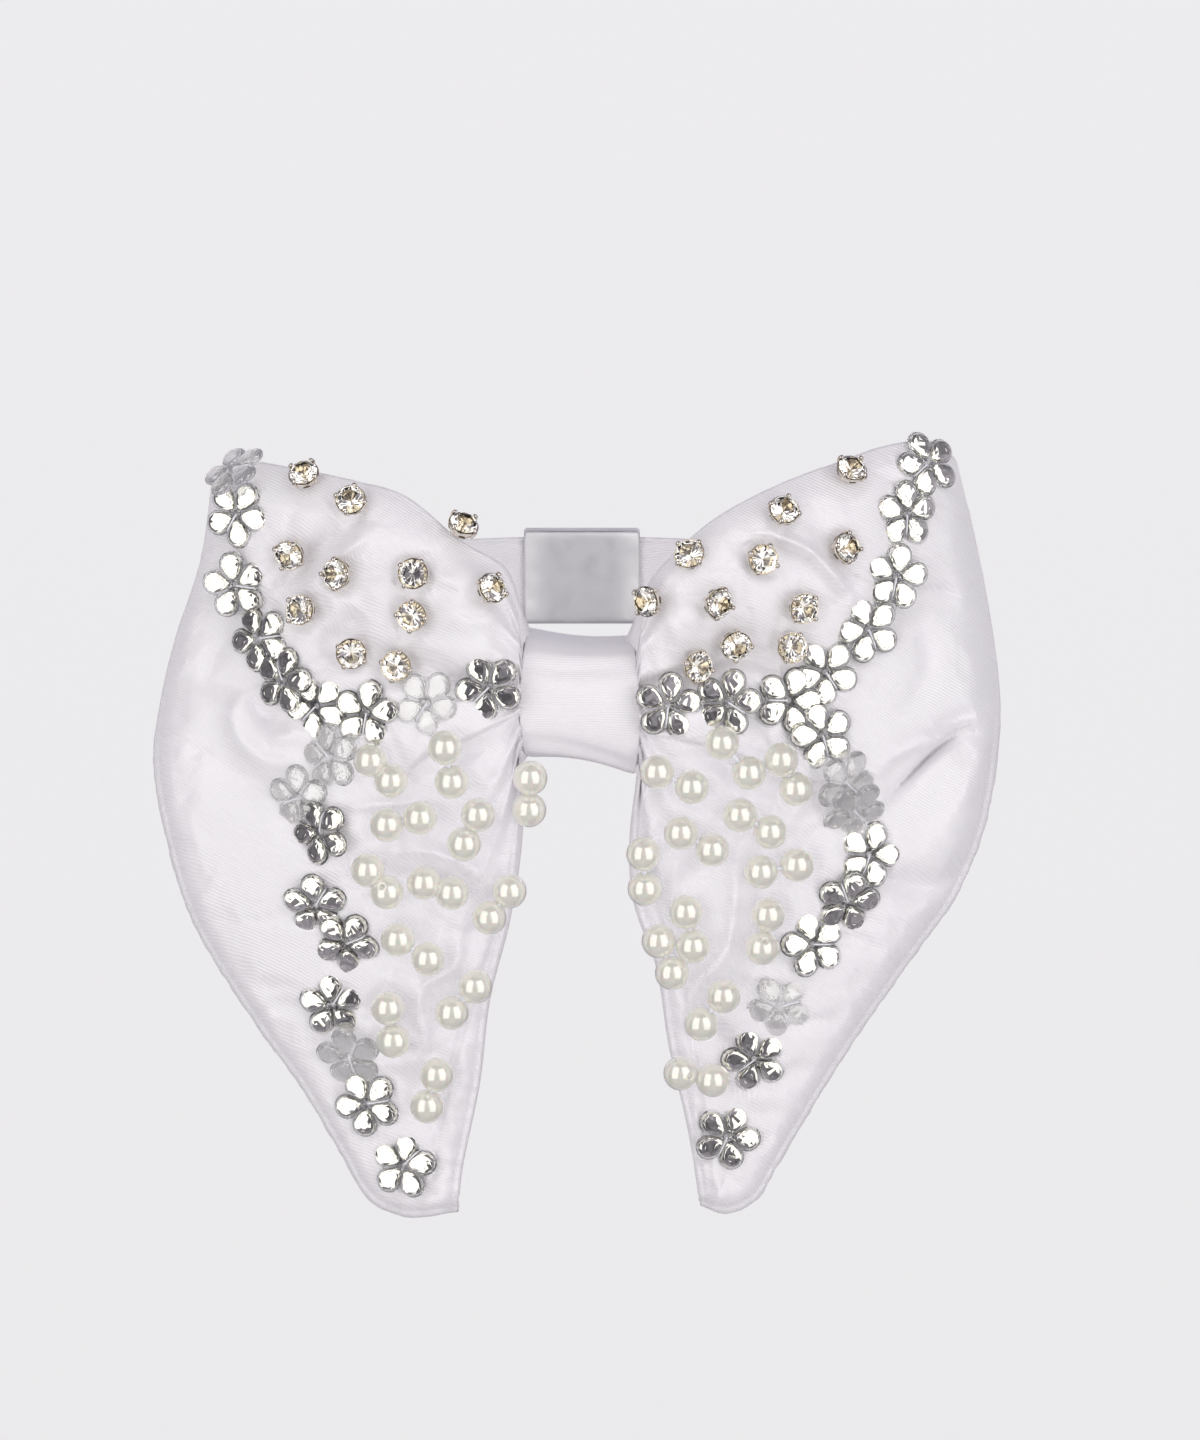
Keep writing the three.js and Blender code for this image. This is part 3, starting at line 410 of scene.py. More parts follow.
# Where a point is on its own piece.
def objectPlace(tree):
    return addNode(tree, "ShaderNodeTexCoord").outputs["Object"]


# Clouds of noise of a given fineness.
def cloudNode(tree, vector, scale, detail=2.0):
    return addNode(tree, "ShaderNodeTexNoise", Scale=scale, Detail=detail, Vector=vector).outputs["Fac"]


# A pattern as the shader's colour, between two colours.
def patternColour(tree, shader, pattern, first, second):
    mix = addNode(tree, "ShaderNodeMix", data_type="RGBA", A=(*first, 1), B=(*second, 1), Factor=pattern)
    tree.links.new(mix.outputs["Result"], shader.inputs["Base Color"])


# A pattern as the shader's roughness, between two values.
def patternRoughness(tree, shader, pattern, low, high):
    rough = addNode(tree, "ShaderNodeMapRange", To_Min=low, To_Max=high, Value=pattern)
    tree.links.new(rough.outputs["Result"], shader.inputs["Roughness"])


# A pattern as small relief of a height in metres.
def patternRelief(tree, shader, pattern, strength, height):
    bump = addNode(tree, "ShaderNodeBump", Strength=strength, Distance=height, Height=pattern)
    tree.links.new(bump.outputs["Normal"], shader.inputs["Normal"])


# pitch of the twill, cross threads for each line of it and their share, and how the weave shades
satinLook = {"light": (0.905, 0.887, 0.90), "dark": (0.75, 0.715, 0.78), "pitch": 0.5, "crossCount": 1.7,
             "crossShare": 0.35, "shade": (-0.13, 0.14), "roughness": (0.30, 0.44), "weaveDepth": 0.035}


# Satin: twill lines and cross threads from the cloth's own UV map, cloudy roughness, soft sheen.
def satinMaterial(name, angle):
    look = satinLook
    material, tree, shader = newMaterial(
        name, Specular_IOR_Level=0.7, Anisotropic=0.55, Sheen_Weight=0.06, Sheen_Roughness=0.4)
    along = addNode(tree, "ShaderNodeTangent", direction_type="UV_MAP", uv_map="cloth")
    tree.links.new(along.outputs["Tangent"], shader.inputs["Tangent"])
    uv = addNode(tree, "ShaderNodeUVMap", uv_map="cloth").outputs["UV"]
    turned = addNode(tree, "ShaderNodeMapping", Rotation=(0, 0, math.radians(angle)), Vector=uv)
    split = addNode(tree, "ShaderNodeSeparateXYZ", Vector=turned.outputs["Vector"])
    frequency = 2 * math.pi / (look["pitch"] * mm)
    twill = mathNode(tree, "SINE", mathNode(tree, "MULTIPLY", split.outputs["Y"], frequency))
    cross = mathNode(tree, "MULTIPLY", split.outputs["X"], frequency * look["crossCount"])
    cross = mathNode(tree, "MULTIPLY", mathNode(tree, "SINE", cross), look["crossShare"])
    weave = mathNode(tree, "ADD", twill, cross)
    shade = mathNode(tree, "MULTIPLY_ADD", weave, *look["shade"])
    patternColour(tree, shader, shade, look["light"], look["dark"])
    patternRoughness(tree, shader, cloudNode(tree, uv, 220.0, 3.0), *look["roughness"])
    patternRelief(tree, shader, weave, 0.6, look["weaveDepth"] * mm)
    return material


# Acrylic of the flower stones with moulding marks: a share of silver, and a solid share that
# bends light while the rest lets it straight through.
def acrylicMaterial(name, colour, silvered, solid):
    material, tree, shader = newMaterial(name, Base_Color=(*colour, 1), Metallic=silvered, Roughness=0.02,
                                         IOR=1.5, Transmission_Weight=1.0, Alpha=solid)
    patternRelief(tree, shader, cloudNode(tree, objectPlace(tree), 900.0), 0.25, 0.08 * mm)
    return material


# A material whose colour wanders between two in clouds, with plain values for the rest.
def cloudyMaterial(name, first, second, scale, detail=3.0, **values):
    material, tree, shader = newMaterial(name, **values)
    clouds = cloudNode(tree, objectPlace(tree), scale, detail)
    patternColour(tree, shader, clouds, first, second)
    return material, tree, shader, clouds


# Metal whose roughness wanders with its colour.
def metalMaterial(name, first, second, roughness, scale):
    material, tree, shader, clouds = cloudyMaterial(name, first, second, scale, Metallic=1.0,
                                                    Roughness=roughness)
    patternRoughness(tree, shader, clouds, roughness * 0.6, roughness * 1.6)
    return material


# Pearl: cream under a bright coat that mirrors the pale cloth round its rim.
def pearlMaterial():
    material, tree, shader, clouds = cloudyMaterial(
        "pearl_lustre", (0.88, 0.865, 0.765), (0.84, 0.83, 0.725), 260.0, 2.0, Roughness=0.10, Metallic=0.24,
        Specular_IOR_Level=0.4, Coat_Weight=1.0, Coat_Roughness=0.04, Coat_IOR=2.0, Subsurface_Weight=0.2,
        Subsurface_Scale=0.0012, Sheen_Weight=0.55, Sheen_Roughness=0.35, Sheen_Tint=(1.0, 1.0, 0.97, 1))
    patternRelief(tree, shader, cloudNode(tree, objectPlace(tree), 1500.0), 0.1, 0.03 * mm)
    return material


# Sewing thread: a fine twist of lighter and darker bands.
def threadMaterial():
    material, tree, shader = newMaterial("sewing_thread", Roughness=0.35, Sheen_Weight=0.3, Sheen_Roughness=0.4)
    twist = addNode(tree, "ShaderNodeTexWave", Scale=900.0, Vector=objectPlace(tree))
    patternColour(tree, shader, twist.outputs["Fac"], (0.93, 0.93, 0.95), (0.80, 0.80, 0.86))
    return material


wingSatin = satinMaterial("wing_satin", 28)
knotSatin = satinMaterial("knot_satin", 8)
acrylic = acrylicMaterial("clear_acrylic", (0.97, 0.98, 0.99), 0.0, 0.8)
greyAcrylic = acrylicMaterial("half_silvered_acrylic", (0.95, 0.94, 0.92), 0.36, 0.66)
foil = metalMaterial("silver_foil", (1.0, 0.985, 0.90), (0.92, 0.915, 0.84), 0.05, 250)
cutCrystal = cloudyMaterial("cut_crystal", (1, 0.955, 0.86), (0.98, 0.965, 0.93), 400.0, 2.0,
                            Roughness=0.0, IOR=1.58, Transmission_Weight=1.0)[0]
# Foil behind the crystals: a champagne tone in clouds of dark brown. The dark brown is painted dark reflection
# for the facets.
pavilionMirror = metalMaterial("mirrored_pavilion", (0.86, 0.79, 0.64), (0.30, 0.24, 0.13), 0.02, 700)
cupMetal = metalMaterial("claw_cup_metal", (0.88, 0.84, 0.77), (0.72, 0.65, 0.56), 0.12, 800)
# Painted shade: near-black brown for the shadowed inside of the cup's openings.
cupHoleShade = metalMaterial("cup_hole_painted_shade", (0.16, 0.11, 0.05), (0.10, 0.07, 0.04), 0.3, 800)
claspMetal = metalMaterial("clasp_metal", (0.93, 0.93, 0.92), (0.86, 0.86, 0.86), 0.48, 300)
pearlLustre = pearlMaterial()
sewingThread = threadMaterial()


# An object that shows some data, in the scene.
def newObject(name, data):
    piece = bpy.data.objects.new(name, data)
    bpy.context.collection.objects.link(piece)
    return piece


# A mesh object of one material slot from points in millimetres and faces that all have as many
# corners, with an optional UV map named cloth.
def putMesh(name, points, faces, material, slotName, uv=None, smooth=True):
    mesh = bpy.data.meshes.new(name)
    mesh.vertices.add(len(points))
    mesh.vertices.foreach_set("co", (points * mm).astype(np.float32).ravel())
    mesh.loops.add(faces.size)
    mesh.loops.foreach_set("vertex_index", faces.astype(np.int32).ravel())
    mesh.polygons.add(len(faces))
    mesh.polygons.foreach_set("loop_start", np.arange(0, faces.size, faces.shape[1], dtype=np.int32))
    mesh.update(calc_edges=True)
    mesh.validate()
    mesh.polygons.foreach_set("use_smooth", np.full(len(mesh.polygons), smooth))
    if uv is not None:
        layer = mesh.uv_layers.new(name="cloth")
        corners = np.zeros(len(mesh.loops), np.int32)
        mesh.loops.foreach_get("vertex_index", corners)
        layer.data.foreach_set("uv", (uv[corners] * mm).astype(np.float32).ravel())
    mesh.materials.append(material)
    piece = newObject(name, mesh)
    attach(piece, "root")
    return piece


# Quads of a grid of rows by cols vertices that start at first; either way can be closed on itself.
def gridFaces(rows, cols, closedRows=False, closedCols=False, first=0, flip=False):
    i = np.arange(rows if closedRows else rows - 1)[:, None]
    j = np.arange(cols if closedCols else cols - 1)[None, :]
    ni, nj = (i + 1) % rows, (j + 1) % cols
    quads = gridOf(i * cols + j, i * cols + nj, ni * cols + nj, ni * cols + j).reshape(-1, 4) + first
    return quads[:, ::-1] if flip else quads


# Faces of a tube of rows by cols vertices, both ends closed by strips across their last rings.
def tubeFaces(rows, cols, flip=False):
    i = np.arange(cols // 2 - 1)
    end = gridOf(i, i + 1, cols - 2 - i, cols - 1 - i)
    faces = np.concatenate([gridFaces(rows, cols, closedCols=True), end[:, ::-1], end + (rows - 1) * cols])
    return faces[:, ::-1] if flip else faces


# A grid of points closed round as a tube with ends, as points and faces.
def tubeShape(grid, flip=False):
    return grid.reshape(-1, 3), tubeFaces(*grid.shape[:2], flip=flip)


# A grid of points closed on itself both ways.
def ringShape(grid, flip=False):
    return grid.reshape(-1, 3), gridFaces(*grid.shape[:2], closedRows=True, closedCols=True, flip=flip)


print("stage: wings")

# Shares from 0 to 1 that crowd towards both ends.
def crowded(count, crowd):
    t = np.linspace(0, 1, count)
    return t - crowd * np.sin(2 * math.pi * t) / (2 * math.pi)


# Places of a wing by a Coons patch: knot to outer edge along u, top to inner edge along v.
def wingPlaces(wing, u, v):
    top, low = (resample(smoothLine(wing[name], 400), u)[:, None] for name in ("top", "inner"))
    outer = resample(smoothLine(wing["outer"], 400), v)[None]
    uu, vv = u[:, None, None], v[None, :, None]
    knotSide = top[0] * (1 - vv) + low[0] * vv
    corners = knotSide * (1 - uu) + (top[-1] * (1 - vv) + low[-1] * vv) * uu
    return top * (1 - vv) + low * vv + knotSide * (1 - uu) + outer * uu - corners


# Tension wrinkles come from a cloth simulation: a coarse grid of each wing, cut a little larger
# than it hangs, is held at the knot, at the seam and at every stitch, and buckles in between.
settling = {"columns": 76, "rows": 124, "scale": 10.0, "frames": 24, "held": 1.3, "seam": 1.2, "waist": 11.5,
            "mostOut": 1.3, "mostIn": 1.1, "seamShare": 0.25, "seamFade": (1.5, 8), "stitchFade": (1.5, 5.0)}
settlingCloth = {"quality": 7, "mass": 0.2, "air_damping": 3.0, "tension_stiffness": 12.0,
                 "compression_stiffness": 12.0, "shear_stiffness": 4.0, "bending_stiffness": 0.12,
                 "vertex_group_mass": "held", "shrink_min": -0.045, "use_pressure": True,
                 "uniform_pressure_force": 0.6}


# How far each place of a wing moves as the cloth settles: its depth after the last frame less
# its depth at rest.
def settleWing(wing):
    form = settling
    places = wingPlaces(wing, np.linspace(0, 1, form["columns"]), np.linspace(0, 1, form["rows"]))
    across, up = places[..., 0], places[..., 1]
    edges = nearEdges(wing, across, up)
    rest = sightPoint(across, up, mainDepth(wing, across, up, edges))
    mesh = bpy.data.meshes.new("settling")
    faces = gridFaces(form["columns"], form["rows"], flip=wing["sign"] < 0)
    mesh.from_pydata((rest.reshape(-1, 3) * mm * form["scale"]).tolist(), [], faces.tolist())
    piece = newObject("settling", mesh)
    near = stitchDistances(wing, across, up).min(axis=-1)
    held = (near < form["held"]) | (seamDistance(edges) < form["seam"]) | (np.abs(across) < form["waist"])
    piece.vertex_groups.new(name="held").add(np.nonzero(held.ravel())[0].tolist(), 1.0, "REPLACE")
    cloth = piece.modifiers.new("cloth", "CLOTH")
    for name, value in settlingCloth.items():
        setattr(cloth.settings, name, value)
    cloth.settings.effector_weights.gravity = 0
    cloth.collision_settings.use_collision = False
    cloth.point_cache.frame_end = form["frames"]
    for step in range(1, form["frames"] + 1):
        bpy.context.scene.frame_set(step)
    shown = piece.evaluated_get(bpy.context.evaluated_depsgraph_get())
    moved = np.zeros(len(mesh.vertices) * 3)
    shown.data.vertices.foreach_get("co", moved)
    moved = moved.reshape(rest.shape) / (mm * form["scale"])
    bpy.context.scene.frame_set(1)
    bpy.data.objects.remove(piece)
    bpy.data.meshes.remove(mesh)
    change = np.clip((moved - rest)[..., 1], -form["mostOut"], form["mostIn"])
    print(f"  settled {wing['name']}: out {change.min():.2f} mm, in {change.max():.2f} mm")
    return change


# A grid of values over u and v read at other shares, by straight lines between its points.
def readGrid(values, u, v):
    rows = np.array([np.interp(u, np.linspace(0, 1, values.shape[0]), column) for column in values.T]).T
    return np.array([np.interp(v, np.linspace(0, 1, values.shape[1]), row) for row in rows])


# Fine cloth: grid, gathers at the knot, sewn rim, a slight unevenness, and the weave's own bend
fineCloth = {"columns": 185, "rows": 361, "knotCrowd": 0.4, "edgeCrowd": 0.5, "rimSteps": 4, "rimBulge": 0.7,
             "gatherCount": 7.5, "gatherHeight": 0.75, "gatherFade": 14.0,
             "beadAt": 0.3, "beadWidth": 0.38, "beadHeight": 0.5,
             "grooveAt": 1.0, "grooveWidth": 0.32, "grooveDepth": 0.35, "puckerHeight": 0.22,
             "puckerWidth": 2.6, "seamStarts": (0.26, 0.40), "insideWaves": (6, 30), "ridgeWaves": (9, 34),
             "puckerWaves": (2.6, 11), "weaveBend": 1.2, "weaveRelief": 0.8}
# seam: how strongly the edge is seamed, at its start and end; ridge inside it: height, distance in, width
seamForm = {"top": {"seam": (0.0, 0.0), "ridge": (0.0, 6.0, 3.0)},
            "outer": {"seam": (0.15, 1.0), "ridge": (0.5, 4.9, 1.9)},
            "inner": {"seam": (0.5, 0.8), "ridge": (0.6, 3.6, 1.6)}}


# Waves along a length, a sum of a few sines of random phase between two wavelengths.
def waves(length, shortest, longest, count=7):
    lengths = np.geomspace(shortest, longest, count)
    total = sum(np.sin(2 * math.pi * length / wave + rng.uniform(0, 6.3)) for wave in lengths)
    return total / math.sqrt(count / 2)


# Depth of the fine cloth: creases, gathers that fade away from the knot, and at each edge a bead,
# a groove, a ridge further in and puckers, all bells of the distance to it.
def fineDepth(wing, across, up, v, edges):
    form = fineCloth
    depth = clothDepth(wing, across, up, edges) - foldHeight(wing["creasesLines"], across, up)
    phase = v * form["gatherCount"] * 2 * math.pi + 0.9 * np.sin(v * 9 + wing["sign"])
    depth += form["gatherHeight"] * np.cos(phase) * np.exp((10 - np.abs(across)) / form["gatherFade"])
    for name, near in edges.items():
        length = near["share"] * np.linalg.norm(np.diff(wing["lines"][name], axis=0), axis=1).sum()
        distance = near["distance"]
        start, end = seamForm[name]["seam"]
        seam = start + (end - start) * smoothStep(near["share"], *form["seamStarts"])
        height, inside, width = seamForm[name]["ridge"]
        inside = inside - 0.9 * seam + (0.25 + 0.35 * seam) * waves(length, *form["insideWaves"])
        depth -= seam * form["beadHeight"] * bell(distance - form["beadAt"], form["beadWidth"])
        depth += seam * form["grooveDepth"] * bell(distance - form["grooveAt"], form["grooveWidth"])
        depth -= height * (1 + 0.25 * waves(length, *form["ridgeWaves"])) * bell(distance - inside, width)
        puckers = (0.3 + 0.7 * seam) * form["puckerHeight"] * waves(length, *form["puckerWaves"])
        depth += puckers * bell(distance, form["puckerWidth"])
    return depth


# One wing: a fine front grid and a back grid of every second row and column, joined by a
# rounded rim; both start with four columns of the waist inside the knot.
def makeWing(wing):
    form = sheetForm
    u = crowded(fineCloth["columns"] - len(waist["stations"]), fineCloth["knotCrowd"])
    v = crowded(fineCloth["rows"], fineCloth["edgeCrowd"])
    places = wingPlaces(wing, u, v)
    across, up = places[..., 0], places[..., 1]
    edges = nearEdges(wing, across, up)
    seam = seamDistance(edges)
    main = mainDepth(wing, across, up, edges)
    depth = fineDepth(wing, across, up, np.broadcast_to(v, across.shape), edges)
    share, fade = settling["seamShare"], smoothStep(seam, *settling["seamFade"])
    change = readGrid(settleWing(wing), u, v) * (share + (1 - share) * fade)
    near = smoothStep(stitchDistances(wing, across, up).min(axis=-1), *settling["stitchFade"])
    depth += np.where(change < 0, change * near, change)
    gather = bell(np.abs(across) - form["pinchFrom"], form["gatherReach"])
    flat = form["edge"] + (form["thickness"] - form["edge"]) * smoothStep(seam, 0, form["edgeReach"])
    thickness = flat + (form["gathered"] - flat) * gather
    behind = np.maximum(0, depth - main + form["backing"] - thickness)
    thickness = thickness + spread(behind, form["backingSteps"])
    smoothFront = sightPoint(across, up, main)
    inward = smoothed(gridFacing(smoothFront) * wing["sign"], form["facingSteps"])
    inward = unit(inward * (1 - gather[..., None]) + np.array([0, 1, 0]) * gather[..., None])
    level = 1 - 2 * v
    pleats = waist["pleat"] * np.cos(v * fineCloth["gatherCount"] * 2 * math.pi)
    waistDepth = waist["front"] + waist["rounding"] * np.abs(level) ** 3 + pleats
    x = wing["sign"] * np.array(waist["stations"])[:, None]
    waistFront, waistBack = (gridOf(x, y, level * waist["halfHeight"]) for y in (waistDepth, waist["back"]))
    front = np.concatenate([waistFront, sightPoint(across, up, depth)])
    back = np.concatenate([waistBack, smoothFront + inward * thickness[..., None]])
    closeSlab(wing, front, back[::2, ::2], np.vstack([np.zeros((len(x), len(v))), depth - main]))


# The four neighbours of each inner value of a grid.
def neighbours(values):
    return np.array([values[:-2, 1:-1], values[2:, 1:-1], values[1:-1, :-2], values[1:-1, 2:]])


# A grid of values smoothed by steps that take the mean of the four neighbours.
def smoothed(values, steps):
    values = values.copy()
    for _ in range(steps):
        values[1:-1, 1:-1] = neighbours(values).mean(axis=0)
    return values


# A grid of values grown by steps that take the largest neighbour, then smoothed by as many
# steps, so that it is nowhere less than it was.
def spread(values, steps):
    for _ in range(steps):
        values[1:-1, 1:-1] = np.maximum(values[1:-1, 1:-1], neighbours(values).max(axis=0))
    return smoothed(values, steps)


# Facing of a grid of points: cross product of its two gradients.
def gridFacing(points):
    return unit(np.cross(np.gradient(points, axis=0), np.gradient(points, axis=1)))


# Indices round the border of a grid, starting along its first column.
def borderOf(rows, cols, first=0):
    index = first + np.arange(rows * cols).reshape(rows, cols)
    return np.concatenate([index[:, 0], index[-1, 1:], index[-2::-1, -1], index[0, -2:0:-1]])


# Each quad as two triangles.
def triangles(quads):
    return np.concatenate([quads[:, [0, 1, 2]], quads[:, [0, 2, 3]]])


# Front and back grids joined by a rim that bulges out as a half circle; the last ring has half
# as many points, so its strip has three triangles for each of the back's steps. The cloth's UV
# map is where each point is seen, bent a little, and goes on outwards over the rim.
def closeSlab(wing, front, back, relief):
    form = fineCloth
    n, m = front.shape[:2]
    halfN, halfM = back.shape[:2]
    rim, backRim = borderOf(n, m), borderOf(halfN, halfM, n * m)
    points = [front.reshape(-1, 3), back.reshape(-1, 3)]
    maps = [gridOf(*seenAt(np.concatenate(points)))]
    a = points[0][rim]
    coarse = np.concatenate(points)[backRim]
    b = np.empty_like(a)
    b[::2], b[1::2] = coarse, (coarse + np.roll(coarse, -1, axis=0)) / 2
    middle = (a + b) / 2
    out = unit(np.cross(unit(np.roll(a, -1, axis=0) - np.roll(a, 1, axis=0)), b - a))
    out *= np.sign(((middle - points[0].mean(axis=0)) * out).sum(axis=1, keepdims=True))
    bulge = np.minimum(np.linalg.norm(b - a, axis=1, keepdims=True) / 2, form["rimBulge"])
    outMap = unit(gridOf(out @ viewRight, out @ viewUp) + 1e-9)
    rings = [rim]
    for k in range(1, form["rimSteps"]):
        angle = math.pi * k / form["rimSteps"]
        ring = middle + (a - middle) * math.cos(angle) + out * bulge * math.sin(angle)
        rings.append(sum(len(part) for part in points) + np.arange(len(rim)))
        points.append(ring)
        maps.append(maps[0][rim] + outMap * np.linalg.norm(ring - a, axis=1, keepdims=True))
    turned = wing["sign"] < 0
    faces = [triangles(gridFaces(n, m, flip=turned)),
             triangles(gridFaces(halfN, halfM, first=n * m, flip=not turned))]
    strips = [triangles(gridOf(first, np.roll(first, -1), np.roll(second, -1), second))
              for first, second in zip(rings[:-1], rings[1:])]
    last, after = rings[-1], np.roll(backRim, -1)
    even, odd, following = last[::2], last[1::2], np.roll(last, -2)[::2]
    strips += [gridOf(even, odd, backRim), gridOf(odd, after, backRim), gridOf(odd, following, after)]
    faces += [strip[:, ::-1] if turned else strip for strip in strips]
    seenAcross, seenUp = np.concatenate(maps).T
    bend = form["weaveBend"] * np.sin(seenAcross / 9 + 0.4) * np.cos(seenUp / 13)
    bend[: n * m] += form["weaveRelief"] * np.clip(relief, -2, 2).ravel()
    piece = putMesh(f"{wing['name']}_wing_cloth", np.concatenate(points), np.concatenate(faces), wingSatin,
                    "satin", gridOf(seenAcross, seenUp + bend))
    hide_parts(f"{wing['name']}_wing")


for wing in (leftWing, rightWing):
    makeWing(wing)

print("stage: knot, strap and clasp")

# middle and halfHeight are given at its left end, its middle and its right end
knotForm = {"front": -83.0, "back": -62.0, "half": 9.2, "wall": 1.3, "bulge": 1.25, "rounding": 0.35,
            "frontPower": 2.5, "backPower": 7.0, "around": 220, "across": 70, "creaseHeight": 0.35,
            "mapRadius": 12.5, "middle": (1.0, 0, -1.3), "halfHeight": (11.0, 10.2, 11.8), "creaseFade": 0.3}
# degrees up from the middle of the front, their change for each mm across, width and height
creaseForm = [(38, 0.5, 7, 1), (52, 0.4, 6, -0.6), (-40, -0.7, 7, 1), (-54, -0.5, 6, -0.6)]


# A parabola through three values at -1, 0 and 1.
def throughThree(x, values):
    low, mid, high = values
    return mid + (high - low) / 2 * x + ((high + low) / 2 - mid) * x**2


# Soft lengthways creases of the knot near its upper and lower turns: bells of the angle.
def knotCreases(x, angle):
    turn = np.degrees(np.arctan2(np.sin(angle), -np.cos(angle)))
    creases = sum(height * bell(turn - at - change * x, width) for at, change, width, height in creaseForm)
    return creases * (1 - knotForm["creaseFade"] * (x / knotForm["half"]) ** 2)


# The knot: a superellipse ring swept from side to side, its wall turned in at both ends.
def makeKnot():
    form = knotForm
    angle = turnSteps(form["around"])[None, :]
    share = np.linspace(-1, 1, form["across"])[:, None]
    spots = share * form["half"]
    power = np.where(np.cos(angle) < 0, form["frontPower"], form["backPower"])
    reach = (np.abs(np.cos(angle)) ** power + np.abs(np.sin(angle)) ** power) ** (-1 / power)
    x = spots + share * form["bulge"] * np.cos(angle) ** 2
    worn = form["rounding"] * np.abs(share) ** 8 + form["creaseHeight"] * knotCreases(x, angle)
    walls = []
    for inset in (worn, form["wall"]):
        halfDepth = (form["back"] - form["front"]) / 2 - inset
        halfHeight = throughThree(share, form["halfHeight"]) - inset
        walls.append(gridOf(x, (form["front"] + form["back"]) / 2 + halfDepth * reach * np.cos(angle),
                            throughThree(share, form["middle"]) + halfHeight * reach * np.sin(angle)))
    uv = gridOf(np.concatenate([spots, spots[::-1]]), angle * form["mapRadius"]).reshape(-1, 2)
    shape = ringShape(np.concatenate([walls[0], walls[1][::-1]]))
    piece = putMesh("knot_cloth", *shape, knotSatin, "satin", uv)
    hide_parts("knot_wrap")


# A rectangle rounded by signed powers of the cosine and the sine.
def roundedLoop(count, width, height, widthPower, heightPower):
    x, y = np.cos(turnSteps(count)), np.sin(turnSteps(count))
    return width / 2 * np.sign(x) * np.abs(x) ** widthPower, height / 2 * np.sign(y) * np.abs(y) ** heightPower


# seamAt: share of the half height at which the strap is stitched
strapForm = {"radius": 65.0, "thickness": 1.6, "height": 15.0, "endGap": 0.8, "around": 420, "section": 44,
             "seamAt": 0.86, "pinch": 0.35, "ripple": 0.06}


# The strap: a flat pillow section carried round the neck, stitched along both edges.
def makeStrap():
    form = strapForm
    thick, level = roundedLoop(form["section"], form["thickness"], form["height"], 0.5, 0.35)
    edge = np.abs(level) / (form["height"] / 2)
    halfGap = form["endGap"] / 2 / form["radius"]
    angle = np.linspace(math.pi / 2 + halfGap, math.pi * 2.5 - halfGap, form["around"])[:, None]
    pinch = form["pinch"] * bell(edge - form["seamAt"], 0.05)
    radius = form["radius"] + form["thickness"] / 2 + thick * (1 - pinch)
    ripple = form["ripple"] * np.sin(angle * 90 + edge * 3) * bell(edge - form["seamAt"], 0.1)
    grid = revolved(radius + ripple, level, angle)
    uv = gridOf(angle * form["radius"], level).reshape(-1, 2)
    piece = putMesh("strap_cloth", *tubeShape(grid, flip=True), knotSatin, "satin", uv)
    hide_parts("neck_strap")


# stations: share of the length, how far the mouth is rounded in there, and whether it is inside
claspForm = {"length": 22.0, "height": 18.0, "thickness": 5.0, "slotHeight": 15.9, "slotThickness": 3.4,
             "behind": 65.35, "around": 96, "corner": 2 / 9, "stations": [
                 (-0.5, 0.35, 0), (-0.48, 0, 0), (-0.25, 0, 0), (0, 0, 0), (0.25, 0, 0), (0.48, 0, 0),
                 (0.5, 0.35, 0), (0.5, 0, 1), (0, 0, 1), (-0.5, 0, 1)]}


# The clasp: a rounded rectangular sleeve, outer and inner loops joined at both mouths.
def makeClasp():
    form = claspForm
    rows = []
    for share, inset, inside in form["stations"]:
        width, height = ((form["slotThickness"], form["slotHeight"]) if inside
                         else (form["thickness"] - 2 * inset, form["height"] - 2 * inset))
        y, z = roundedLoop(form["around"], width, height, form["corner"], form["corner"])
        rows.append(gridOf(share * form["length"], y + form["behind"], z))
    piece = putMesh("clasp_sleeve", *ringShape(np.array(rows)), claspMetal, "clasp_metal")
    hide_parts("strap_clasp")


makeKnot()
makeStrap()
makeClasp()

print("stage: seating of the stones")


# Turns vectors about unit axes by angles, by Rodrigues' formula.
def turnAbout(vectors, axis, angles):
    cosine, sine = np.cos(angles)[:, None], np.sin(angles)[:, None]
    along = (vectors * axis).sum(axis=-1, keepdims=True)
    return vectors * cosine + np.cross(axis, vectors) * sine + axis * along * (1 - cosine)


# How stones are seated: span of the cloth that they face with, steps, samples below a stone (round
# it and as shares of its foot), how many of them must be clear of the cloth, and least facing
seatForm = {"span": 3.5, "steps": 5, "around": 16, "shares": (0.4, 0.7, 1), "percent": 92, "leastFacing": 0.3}


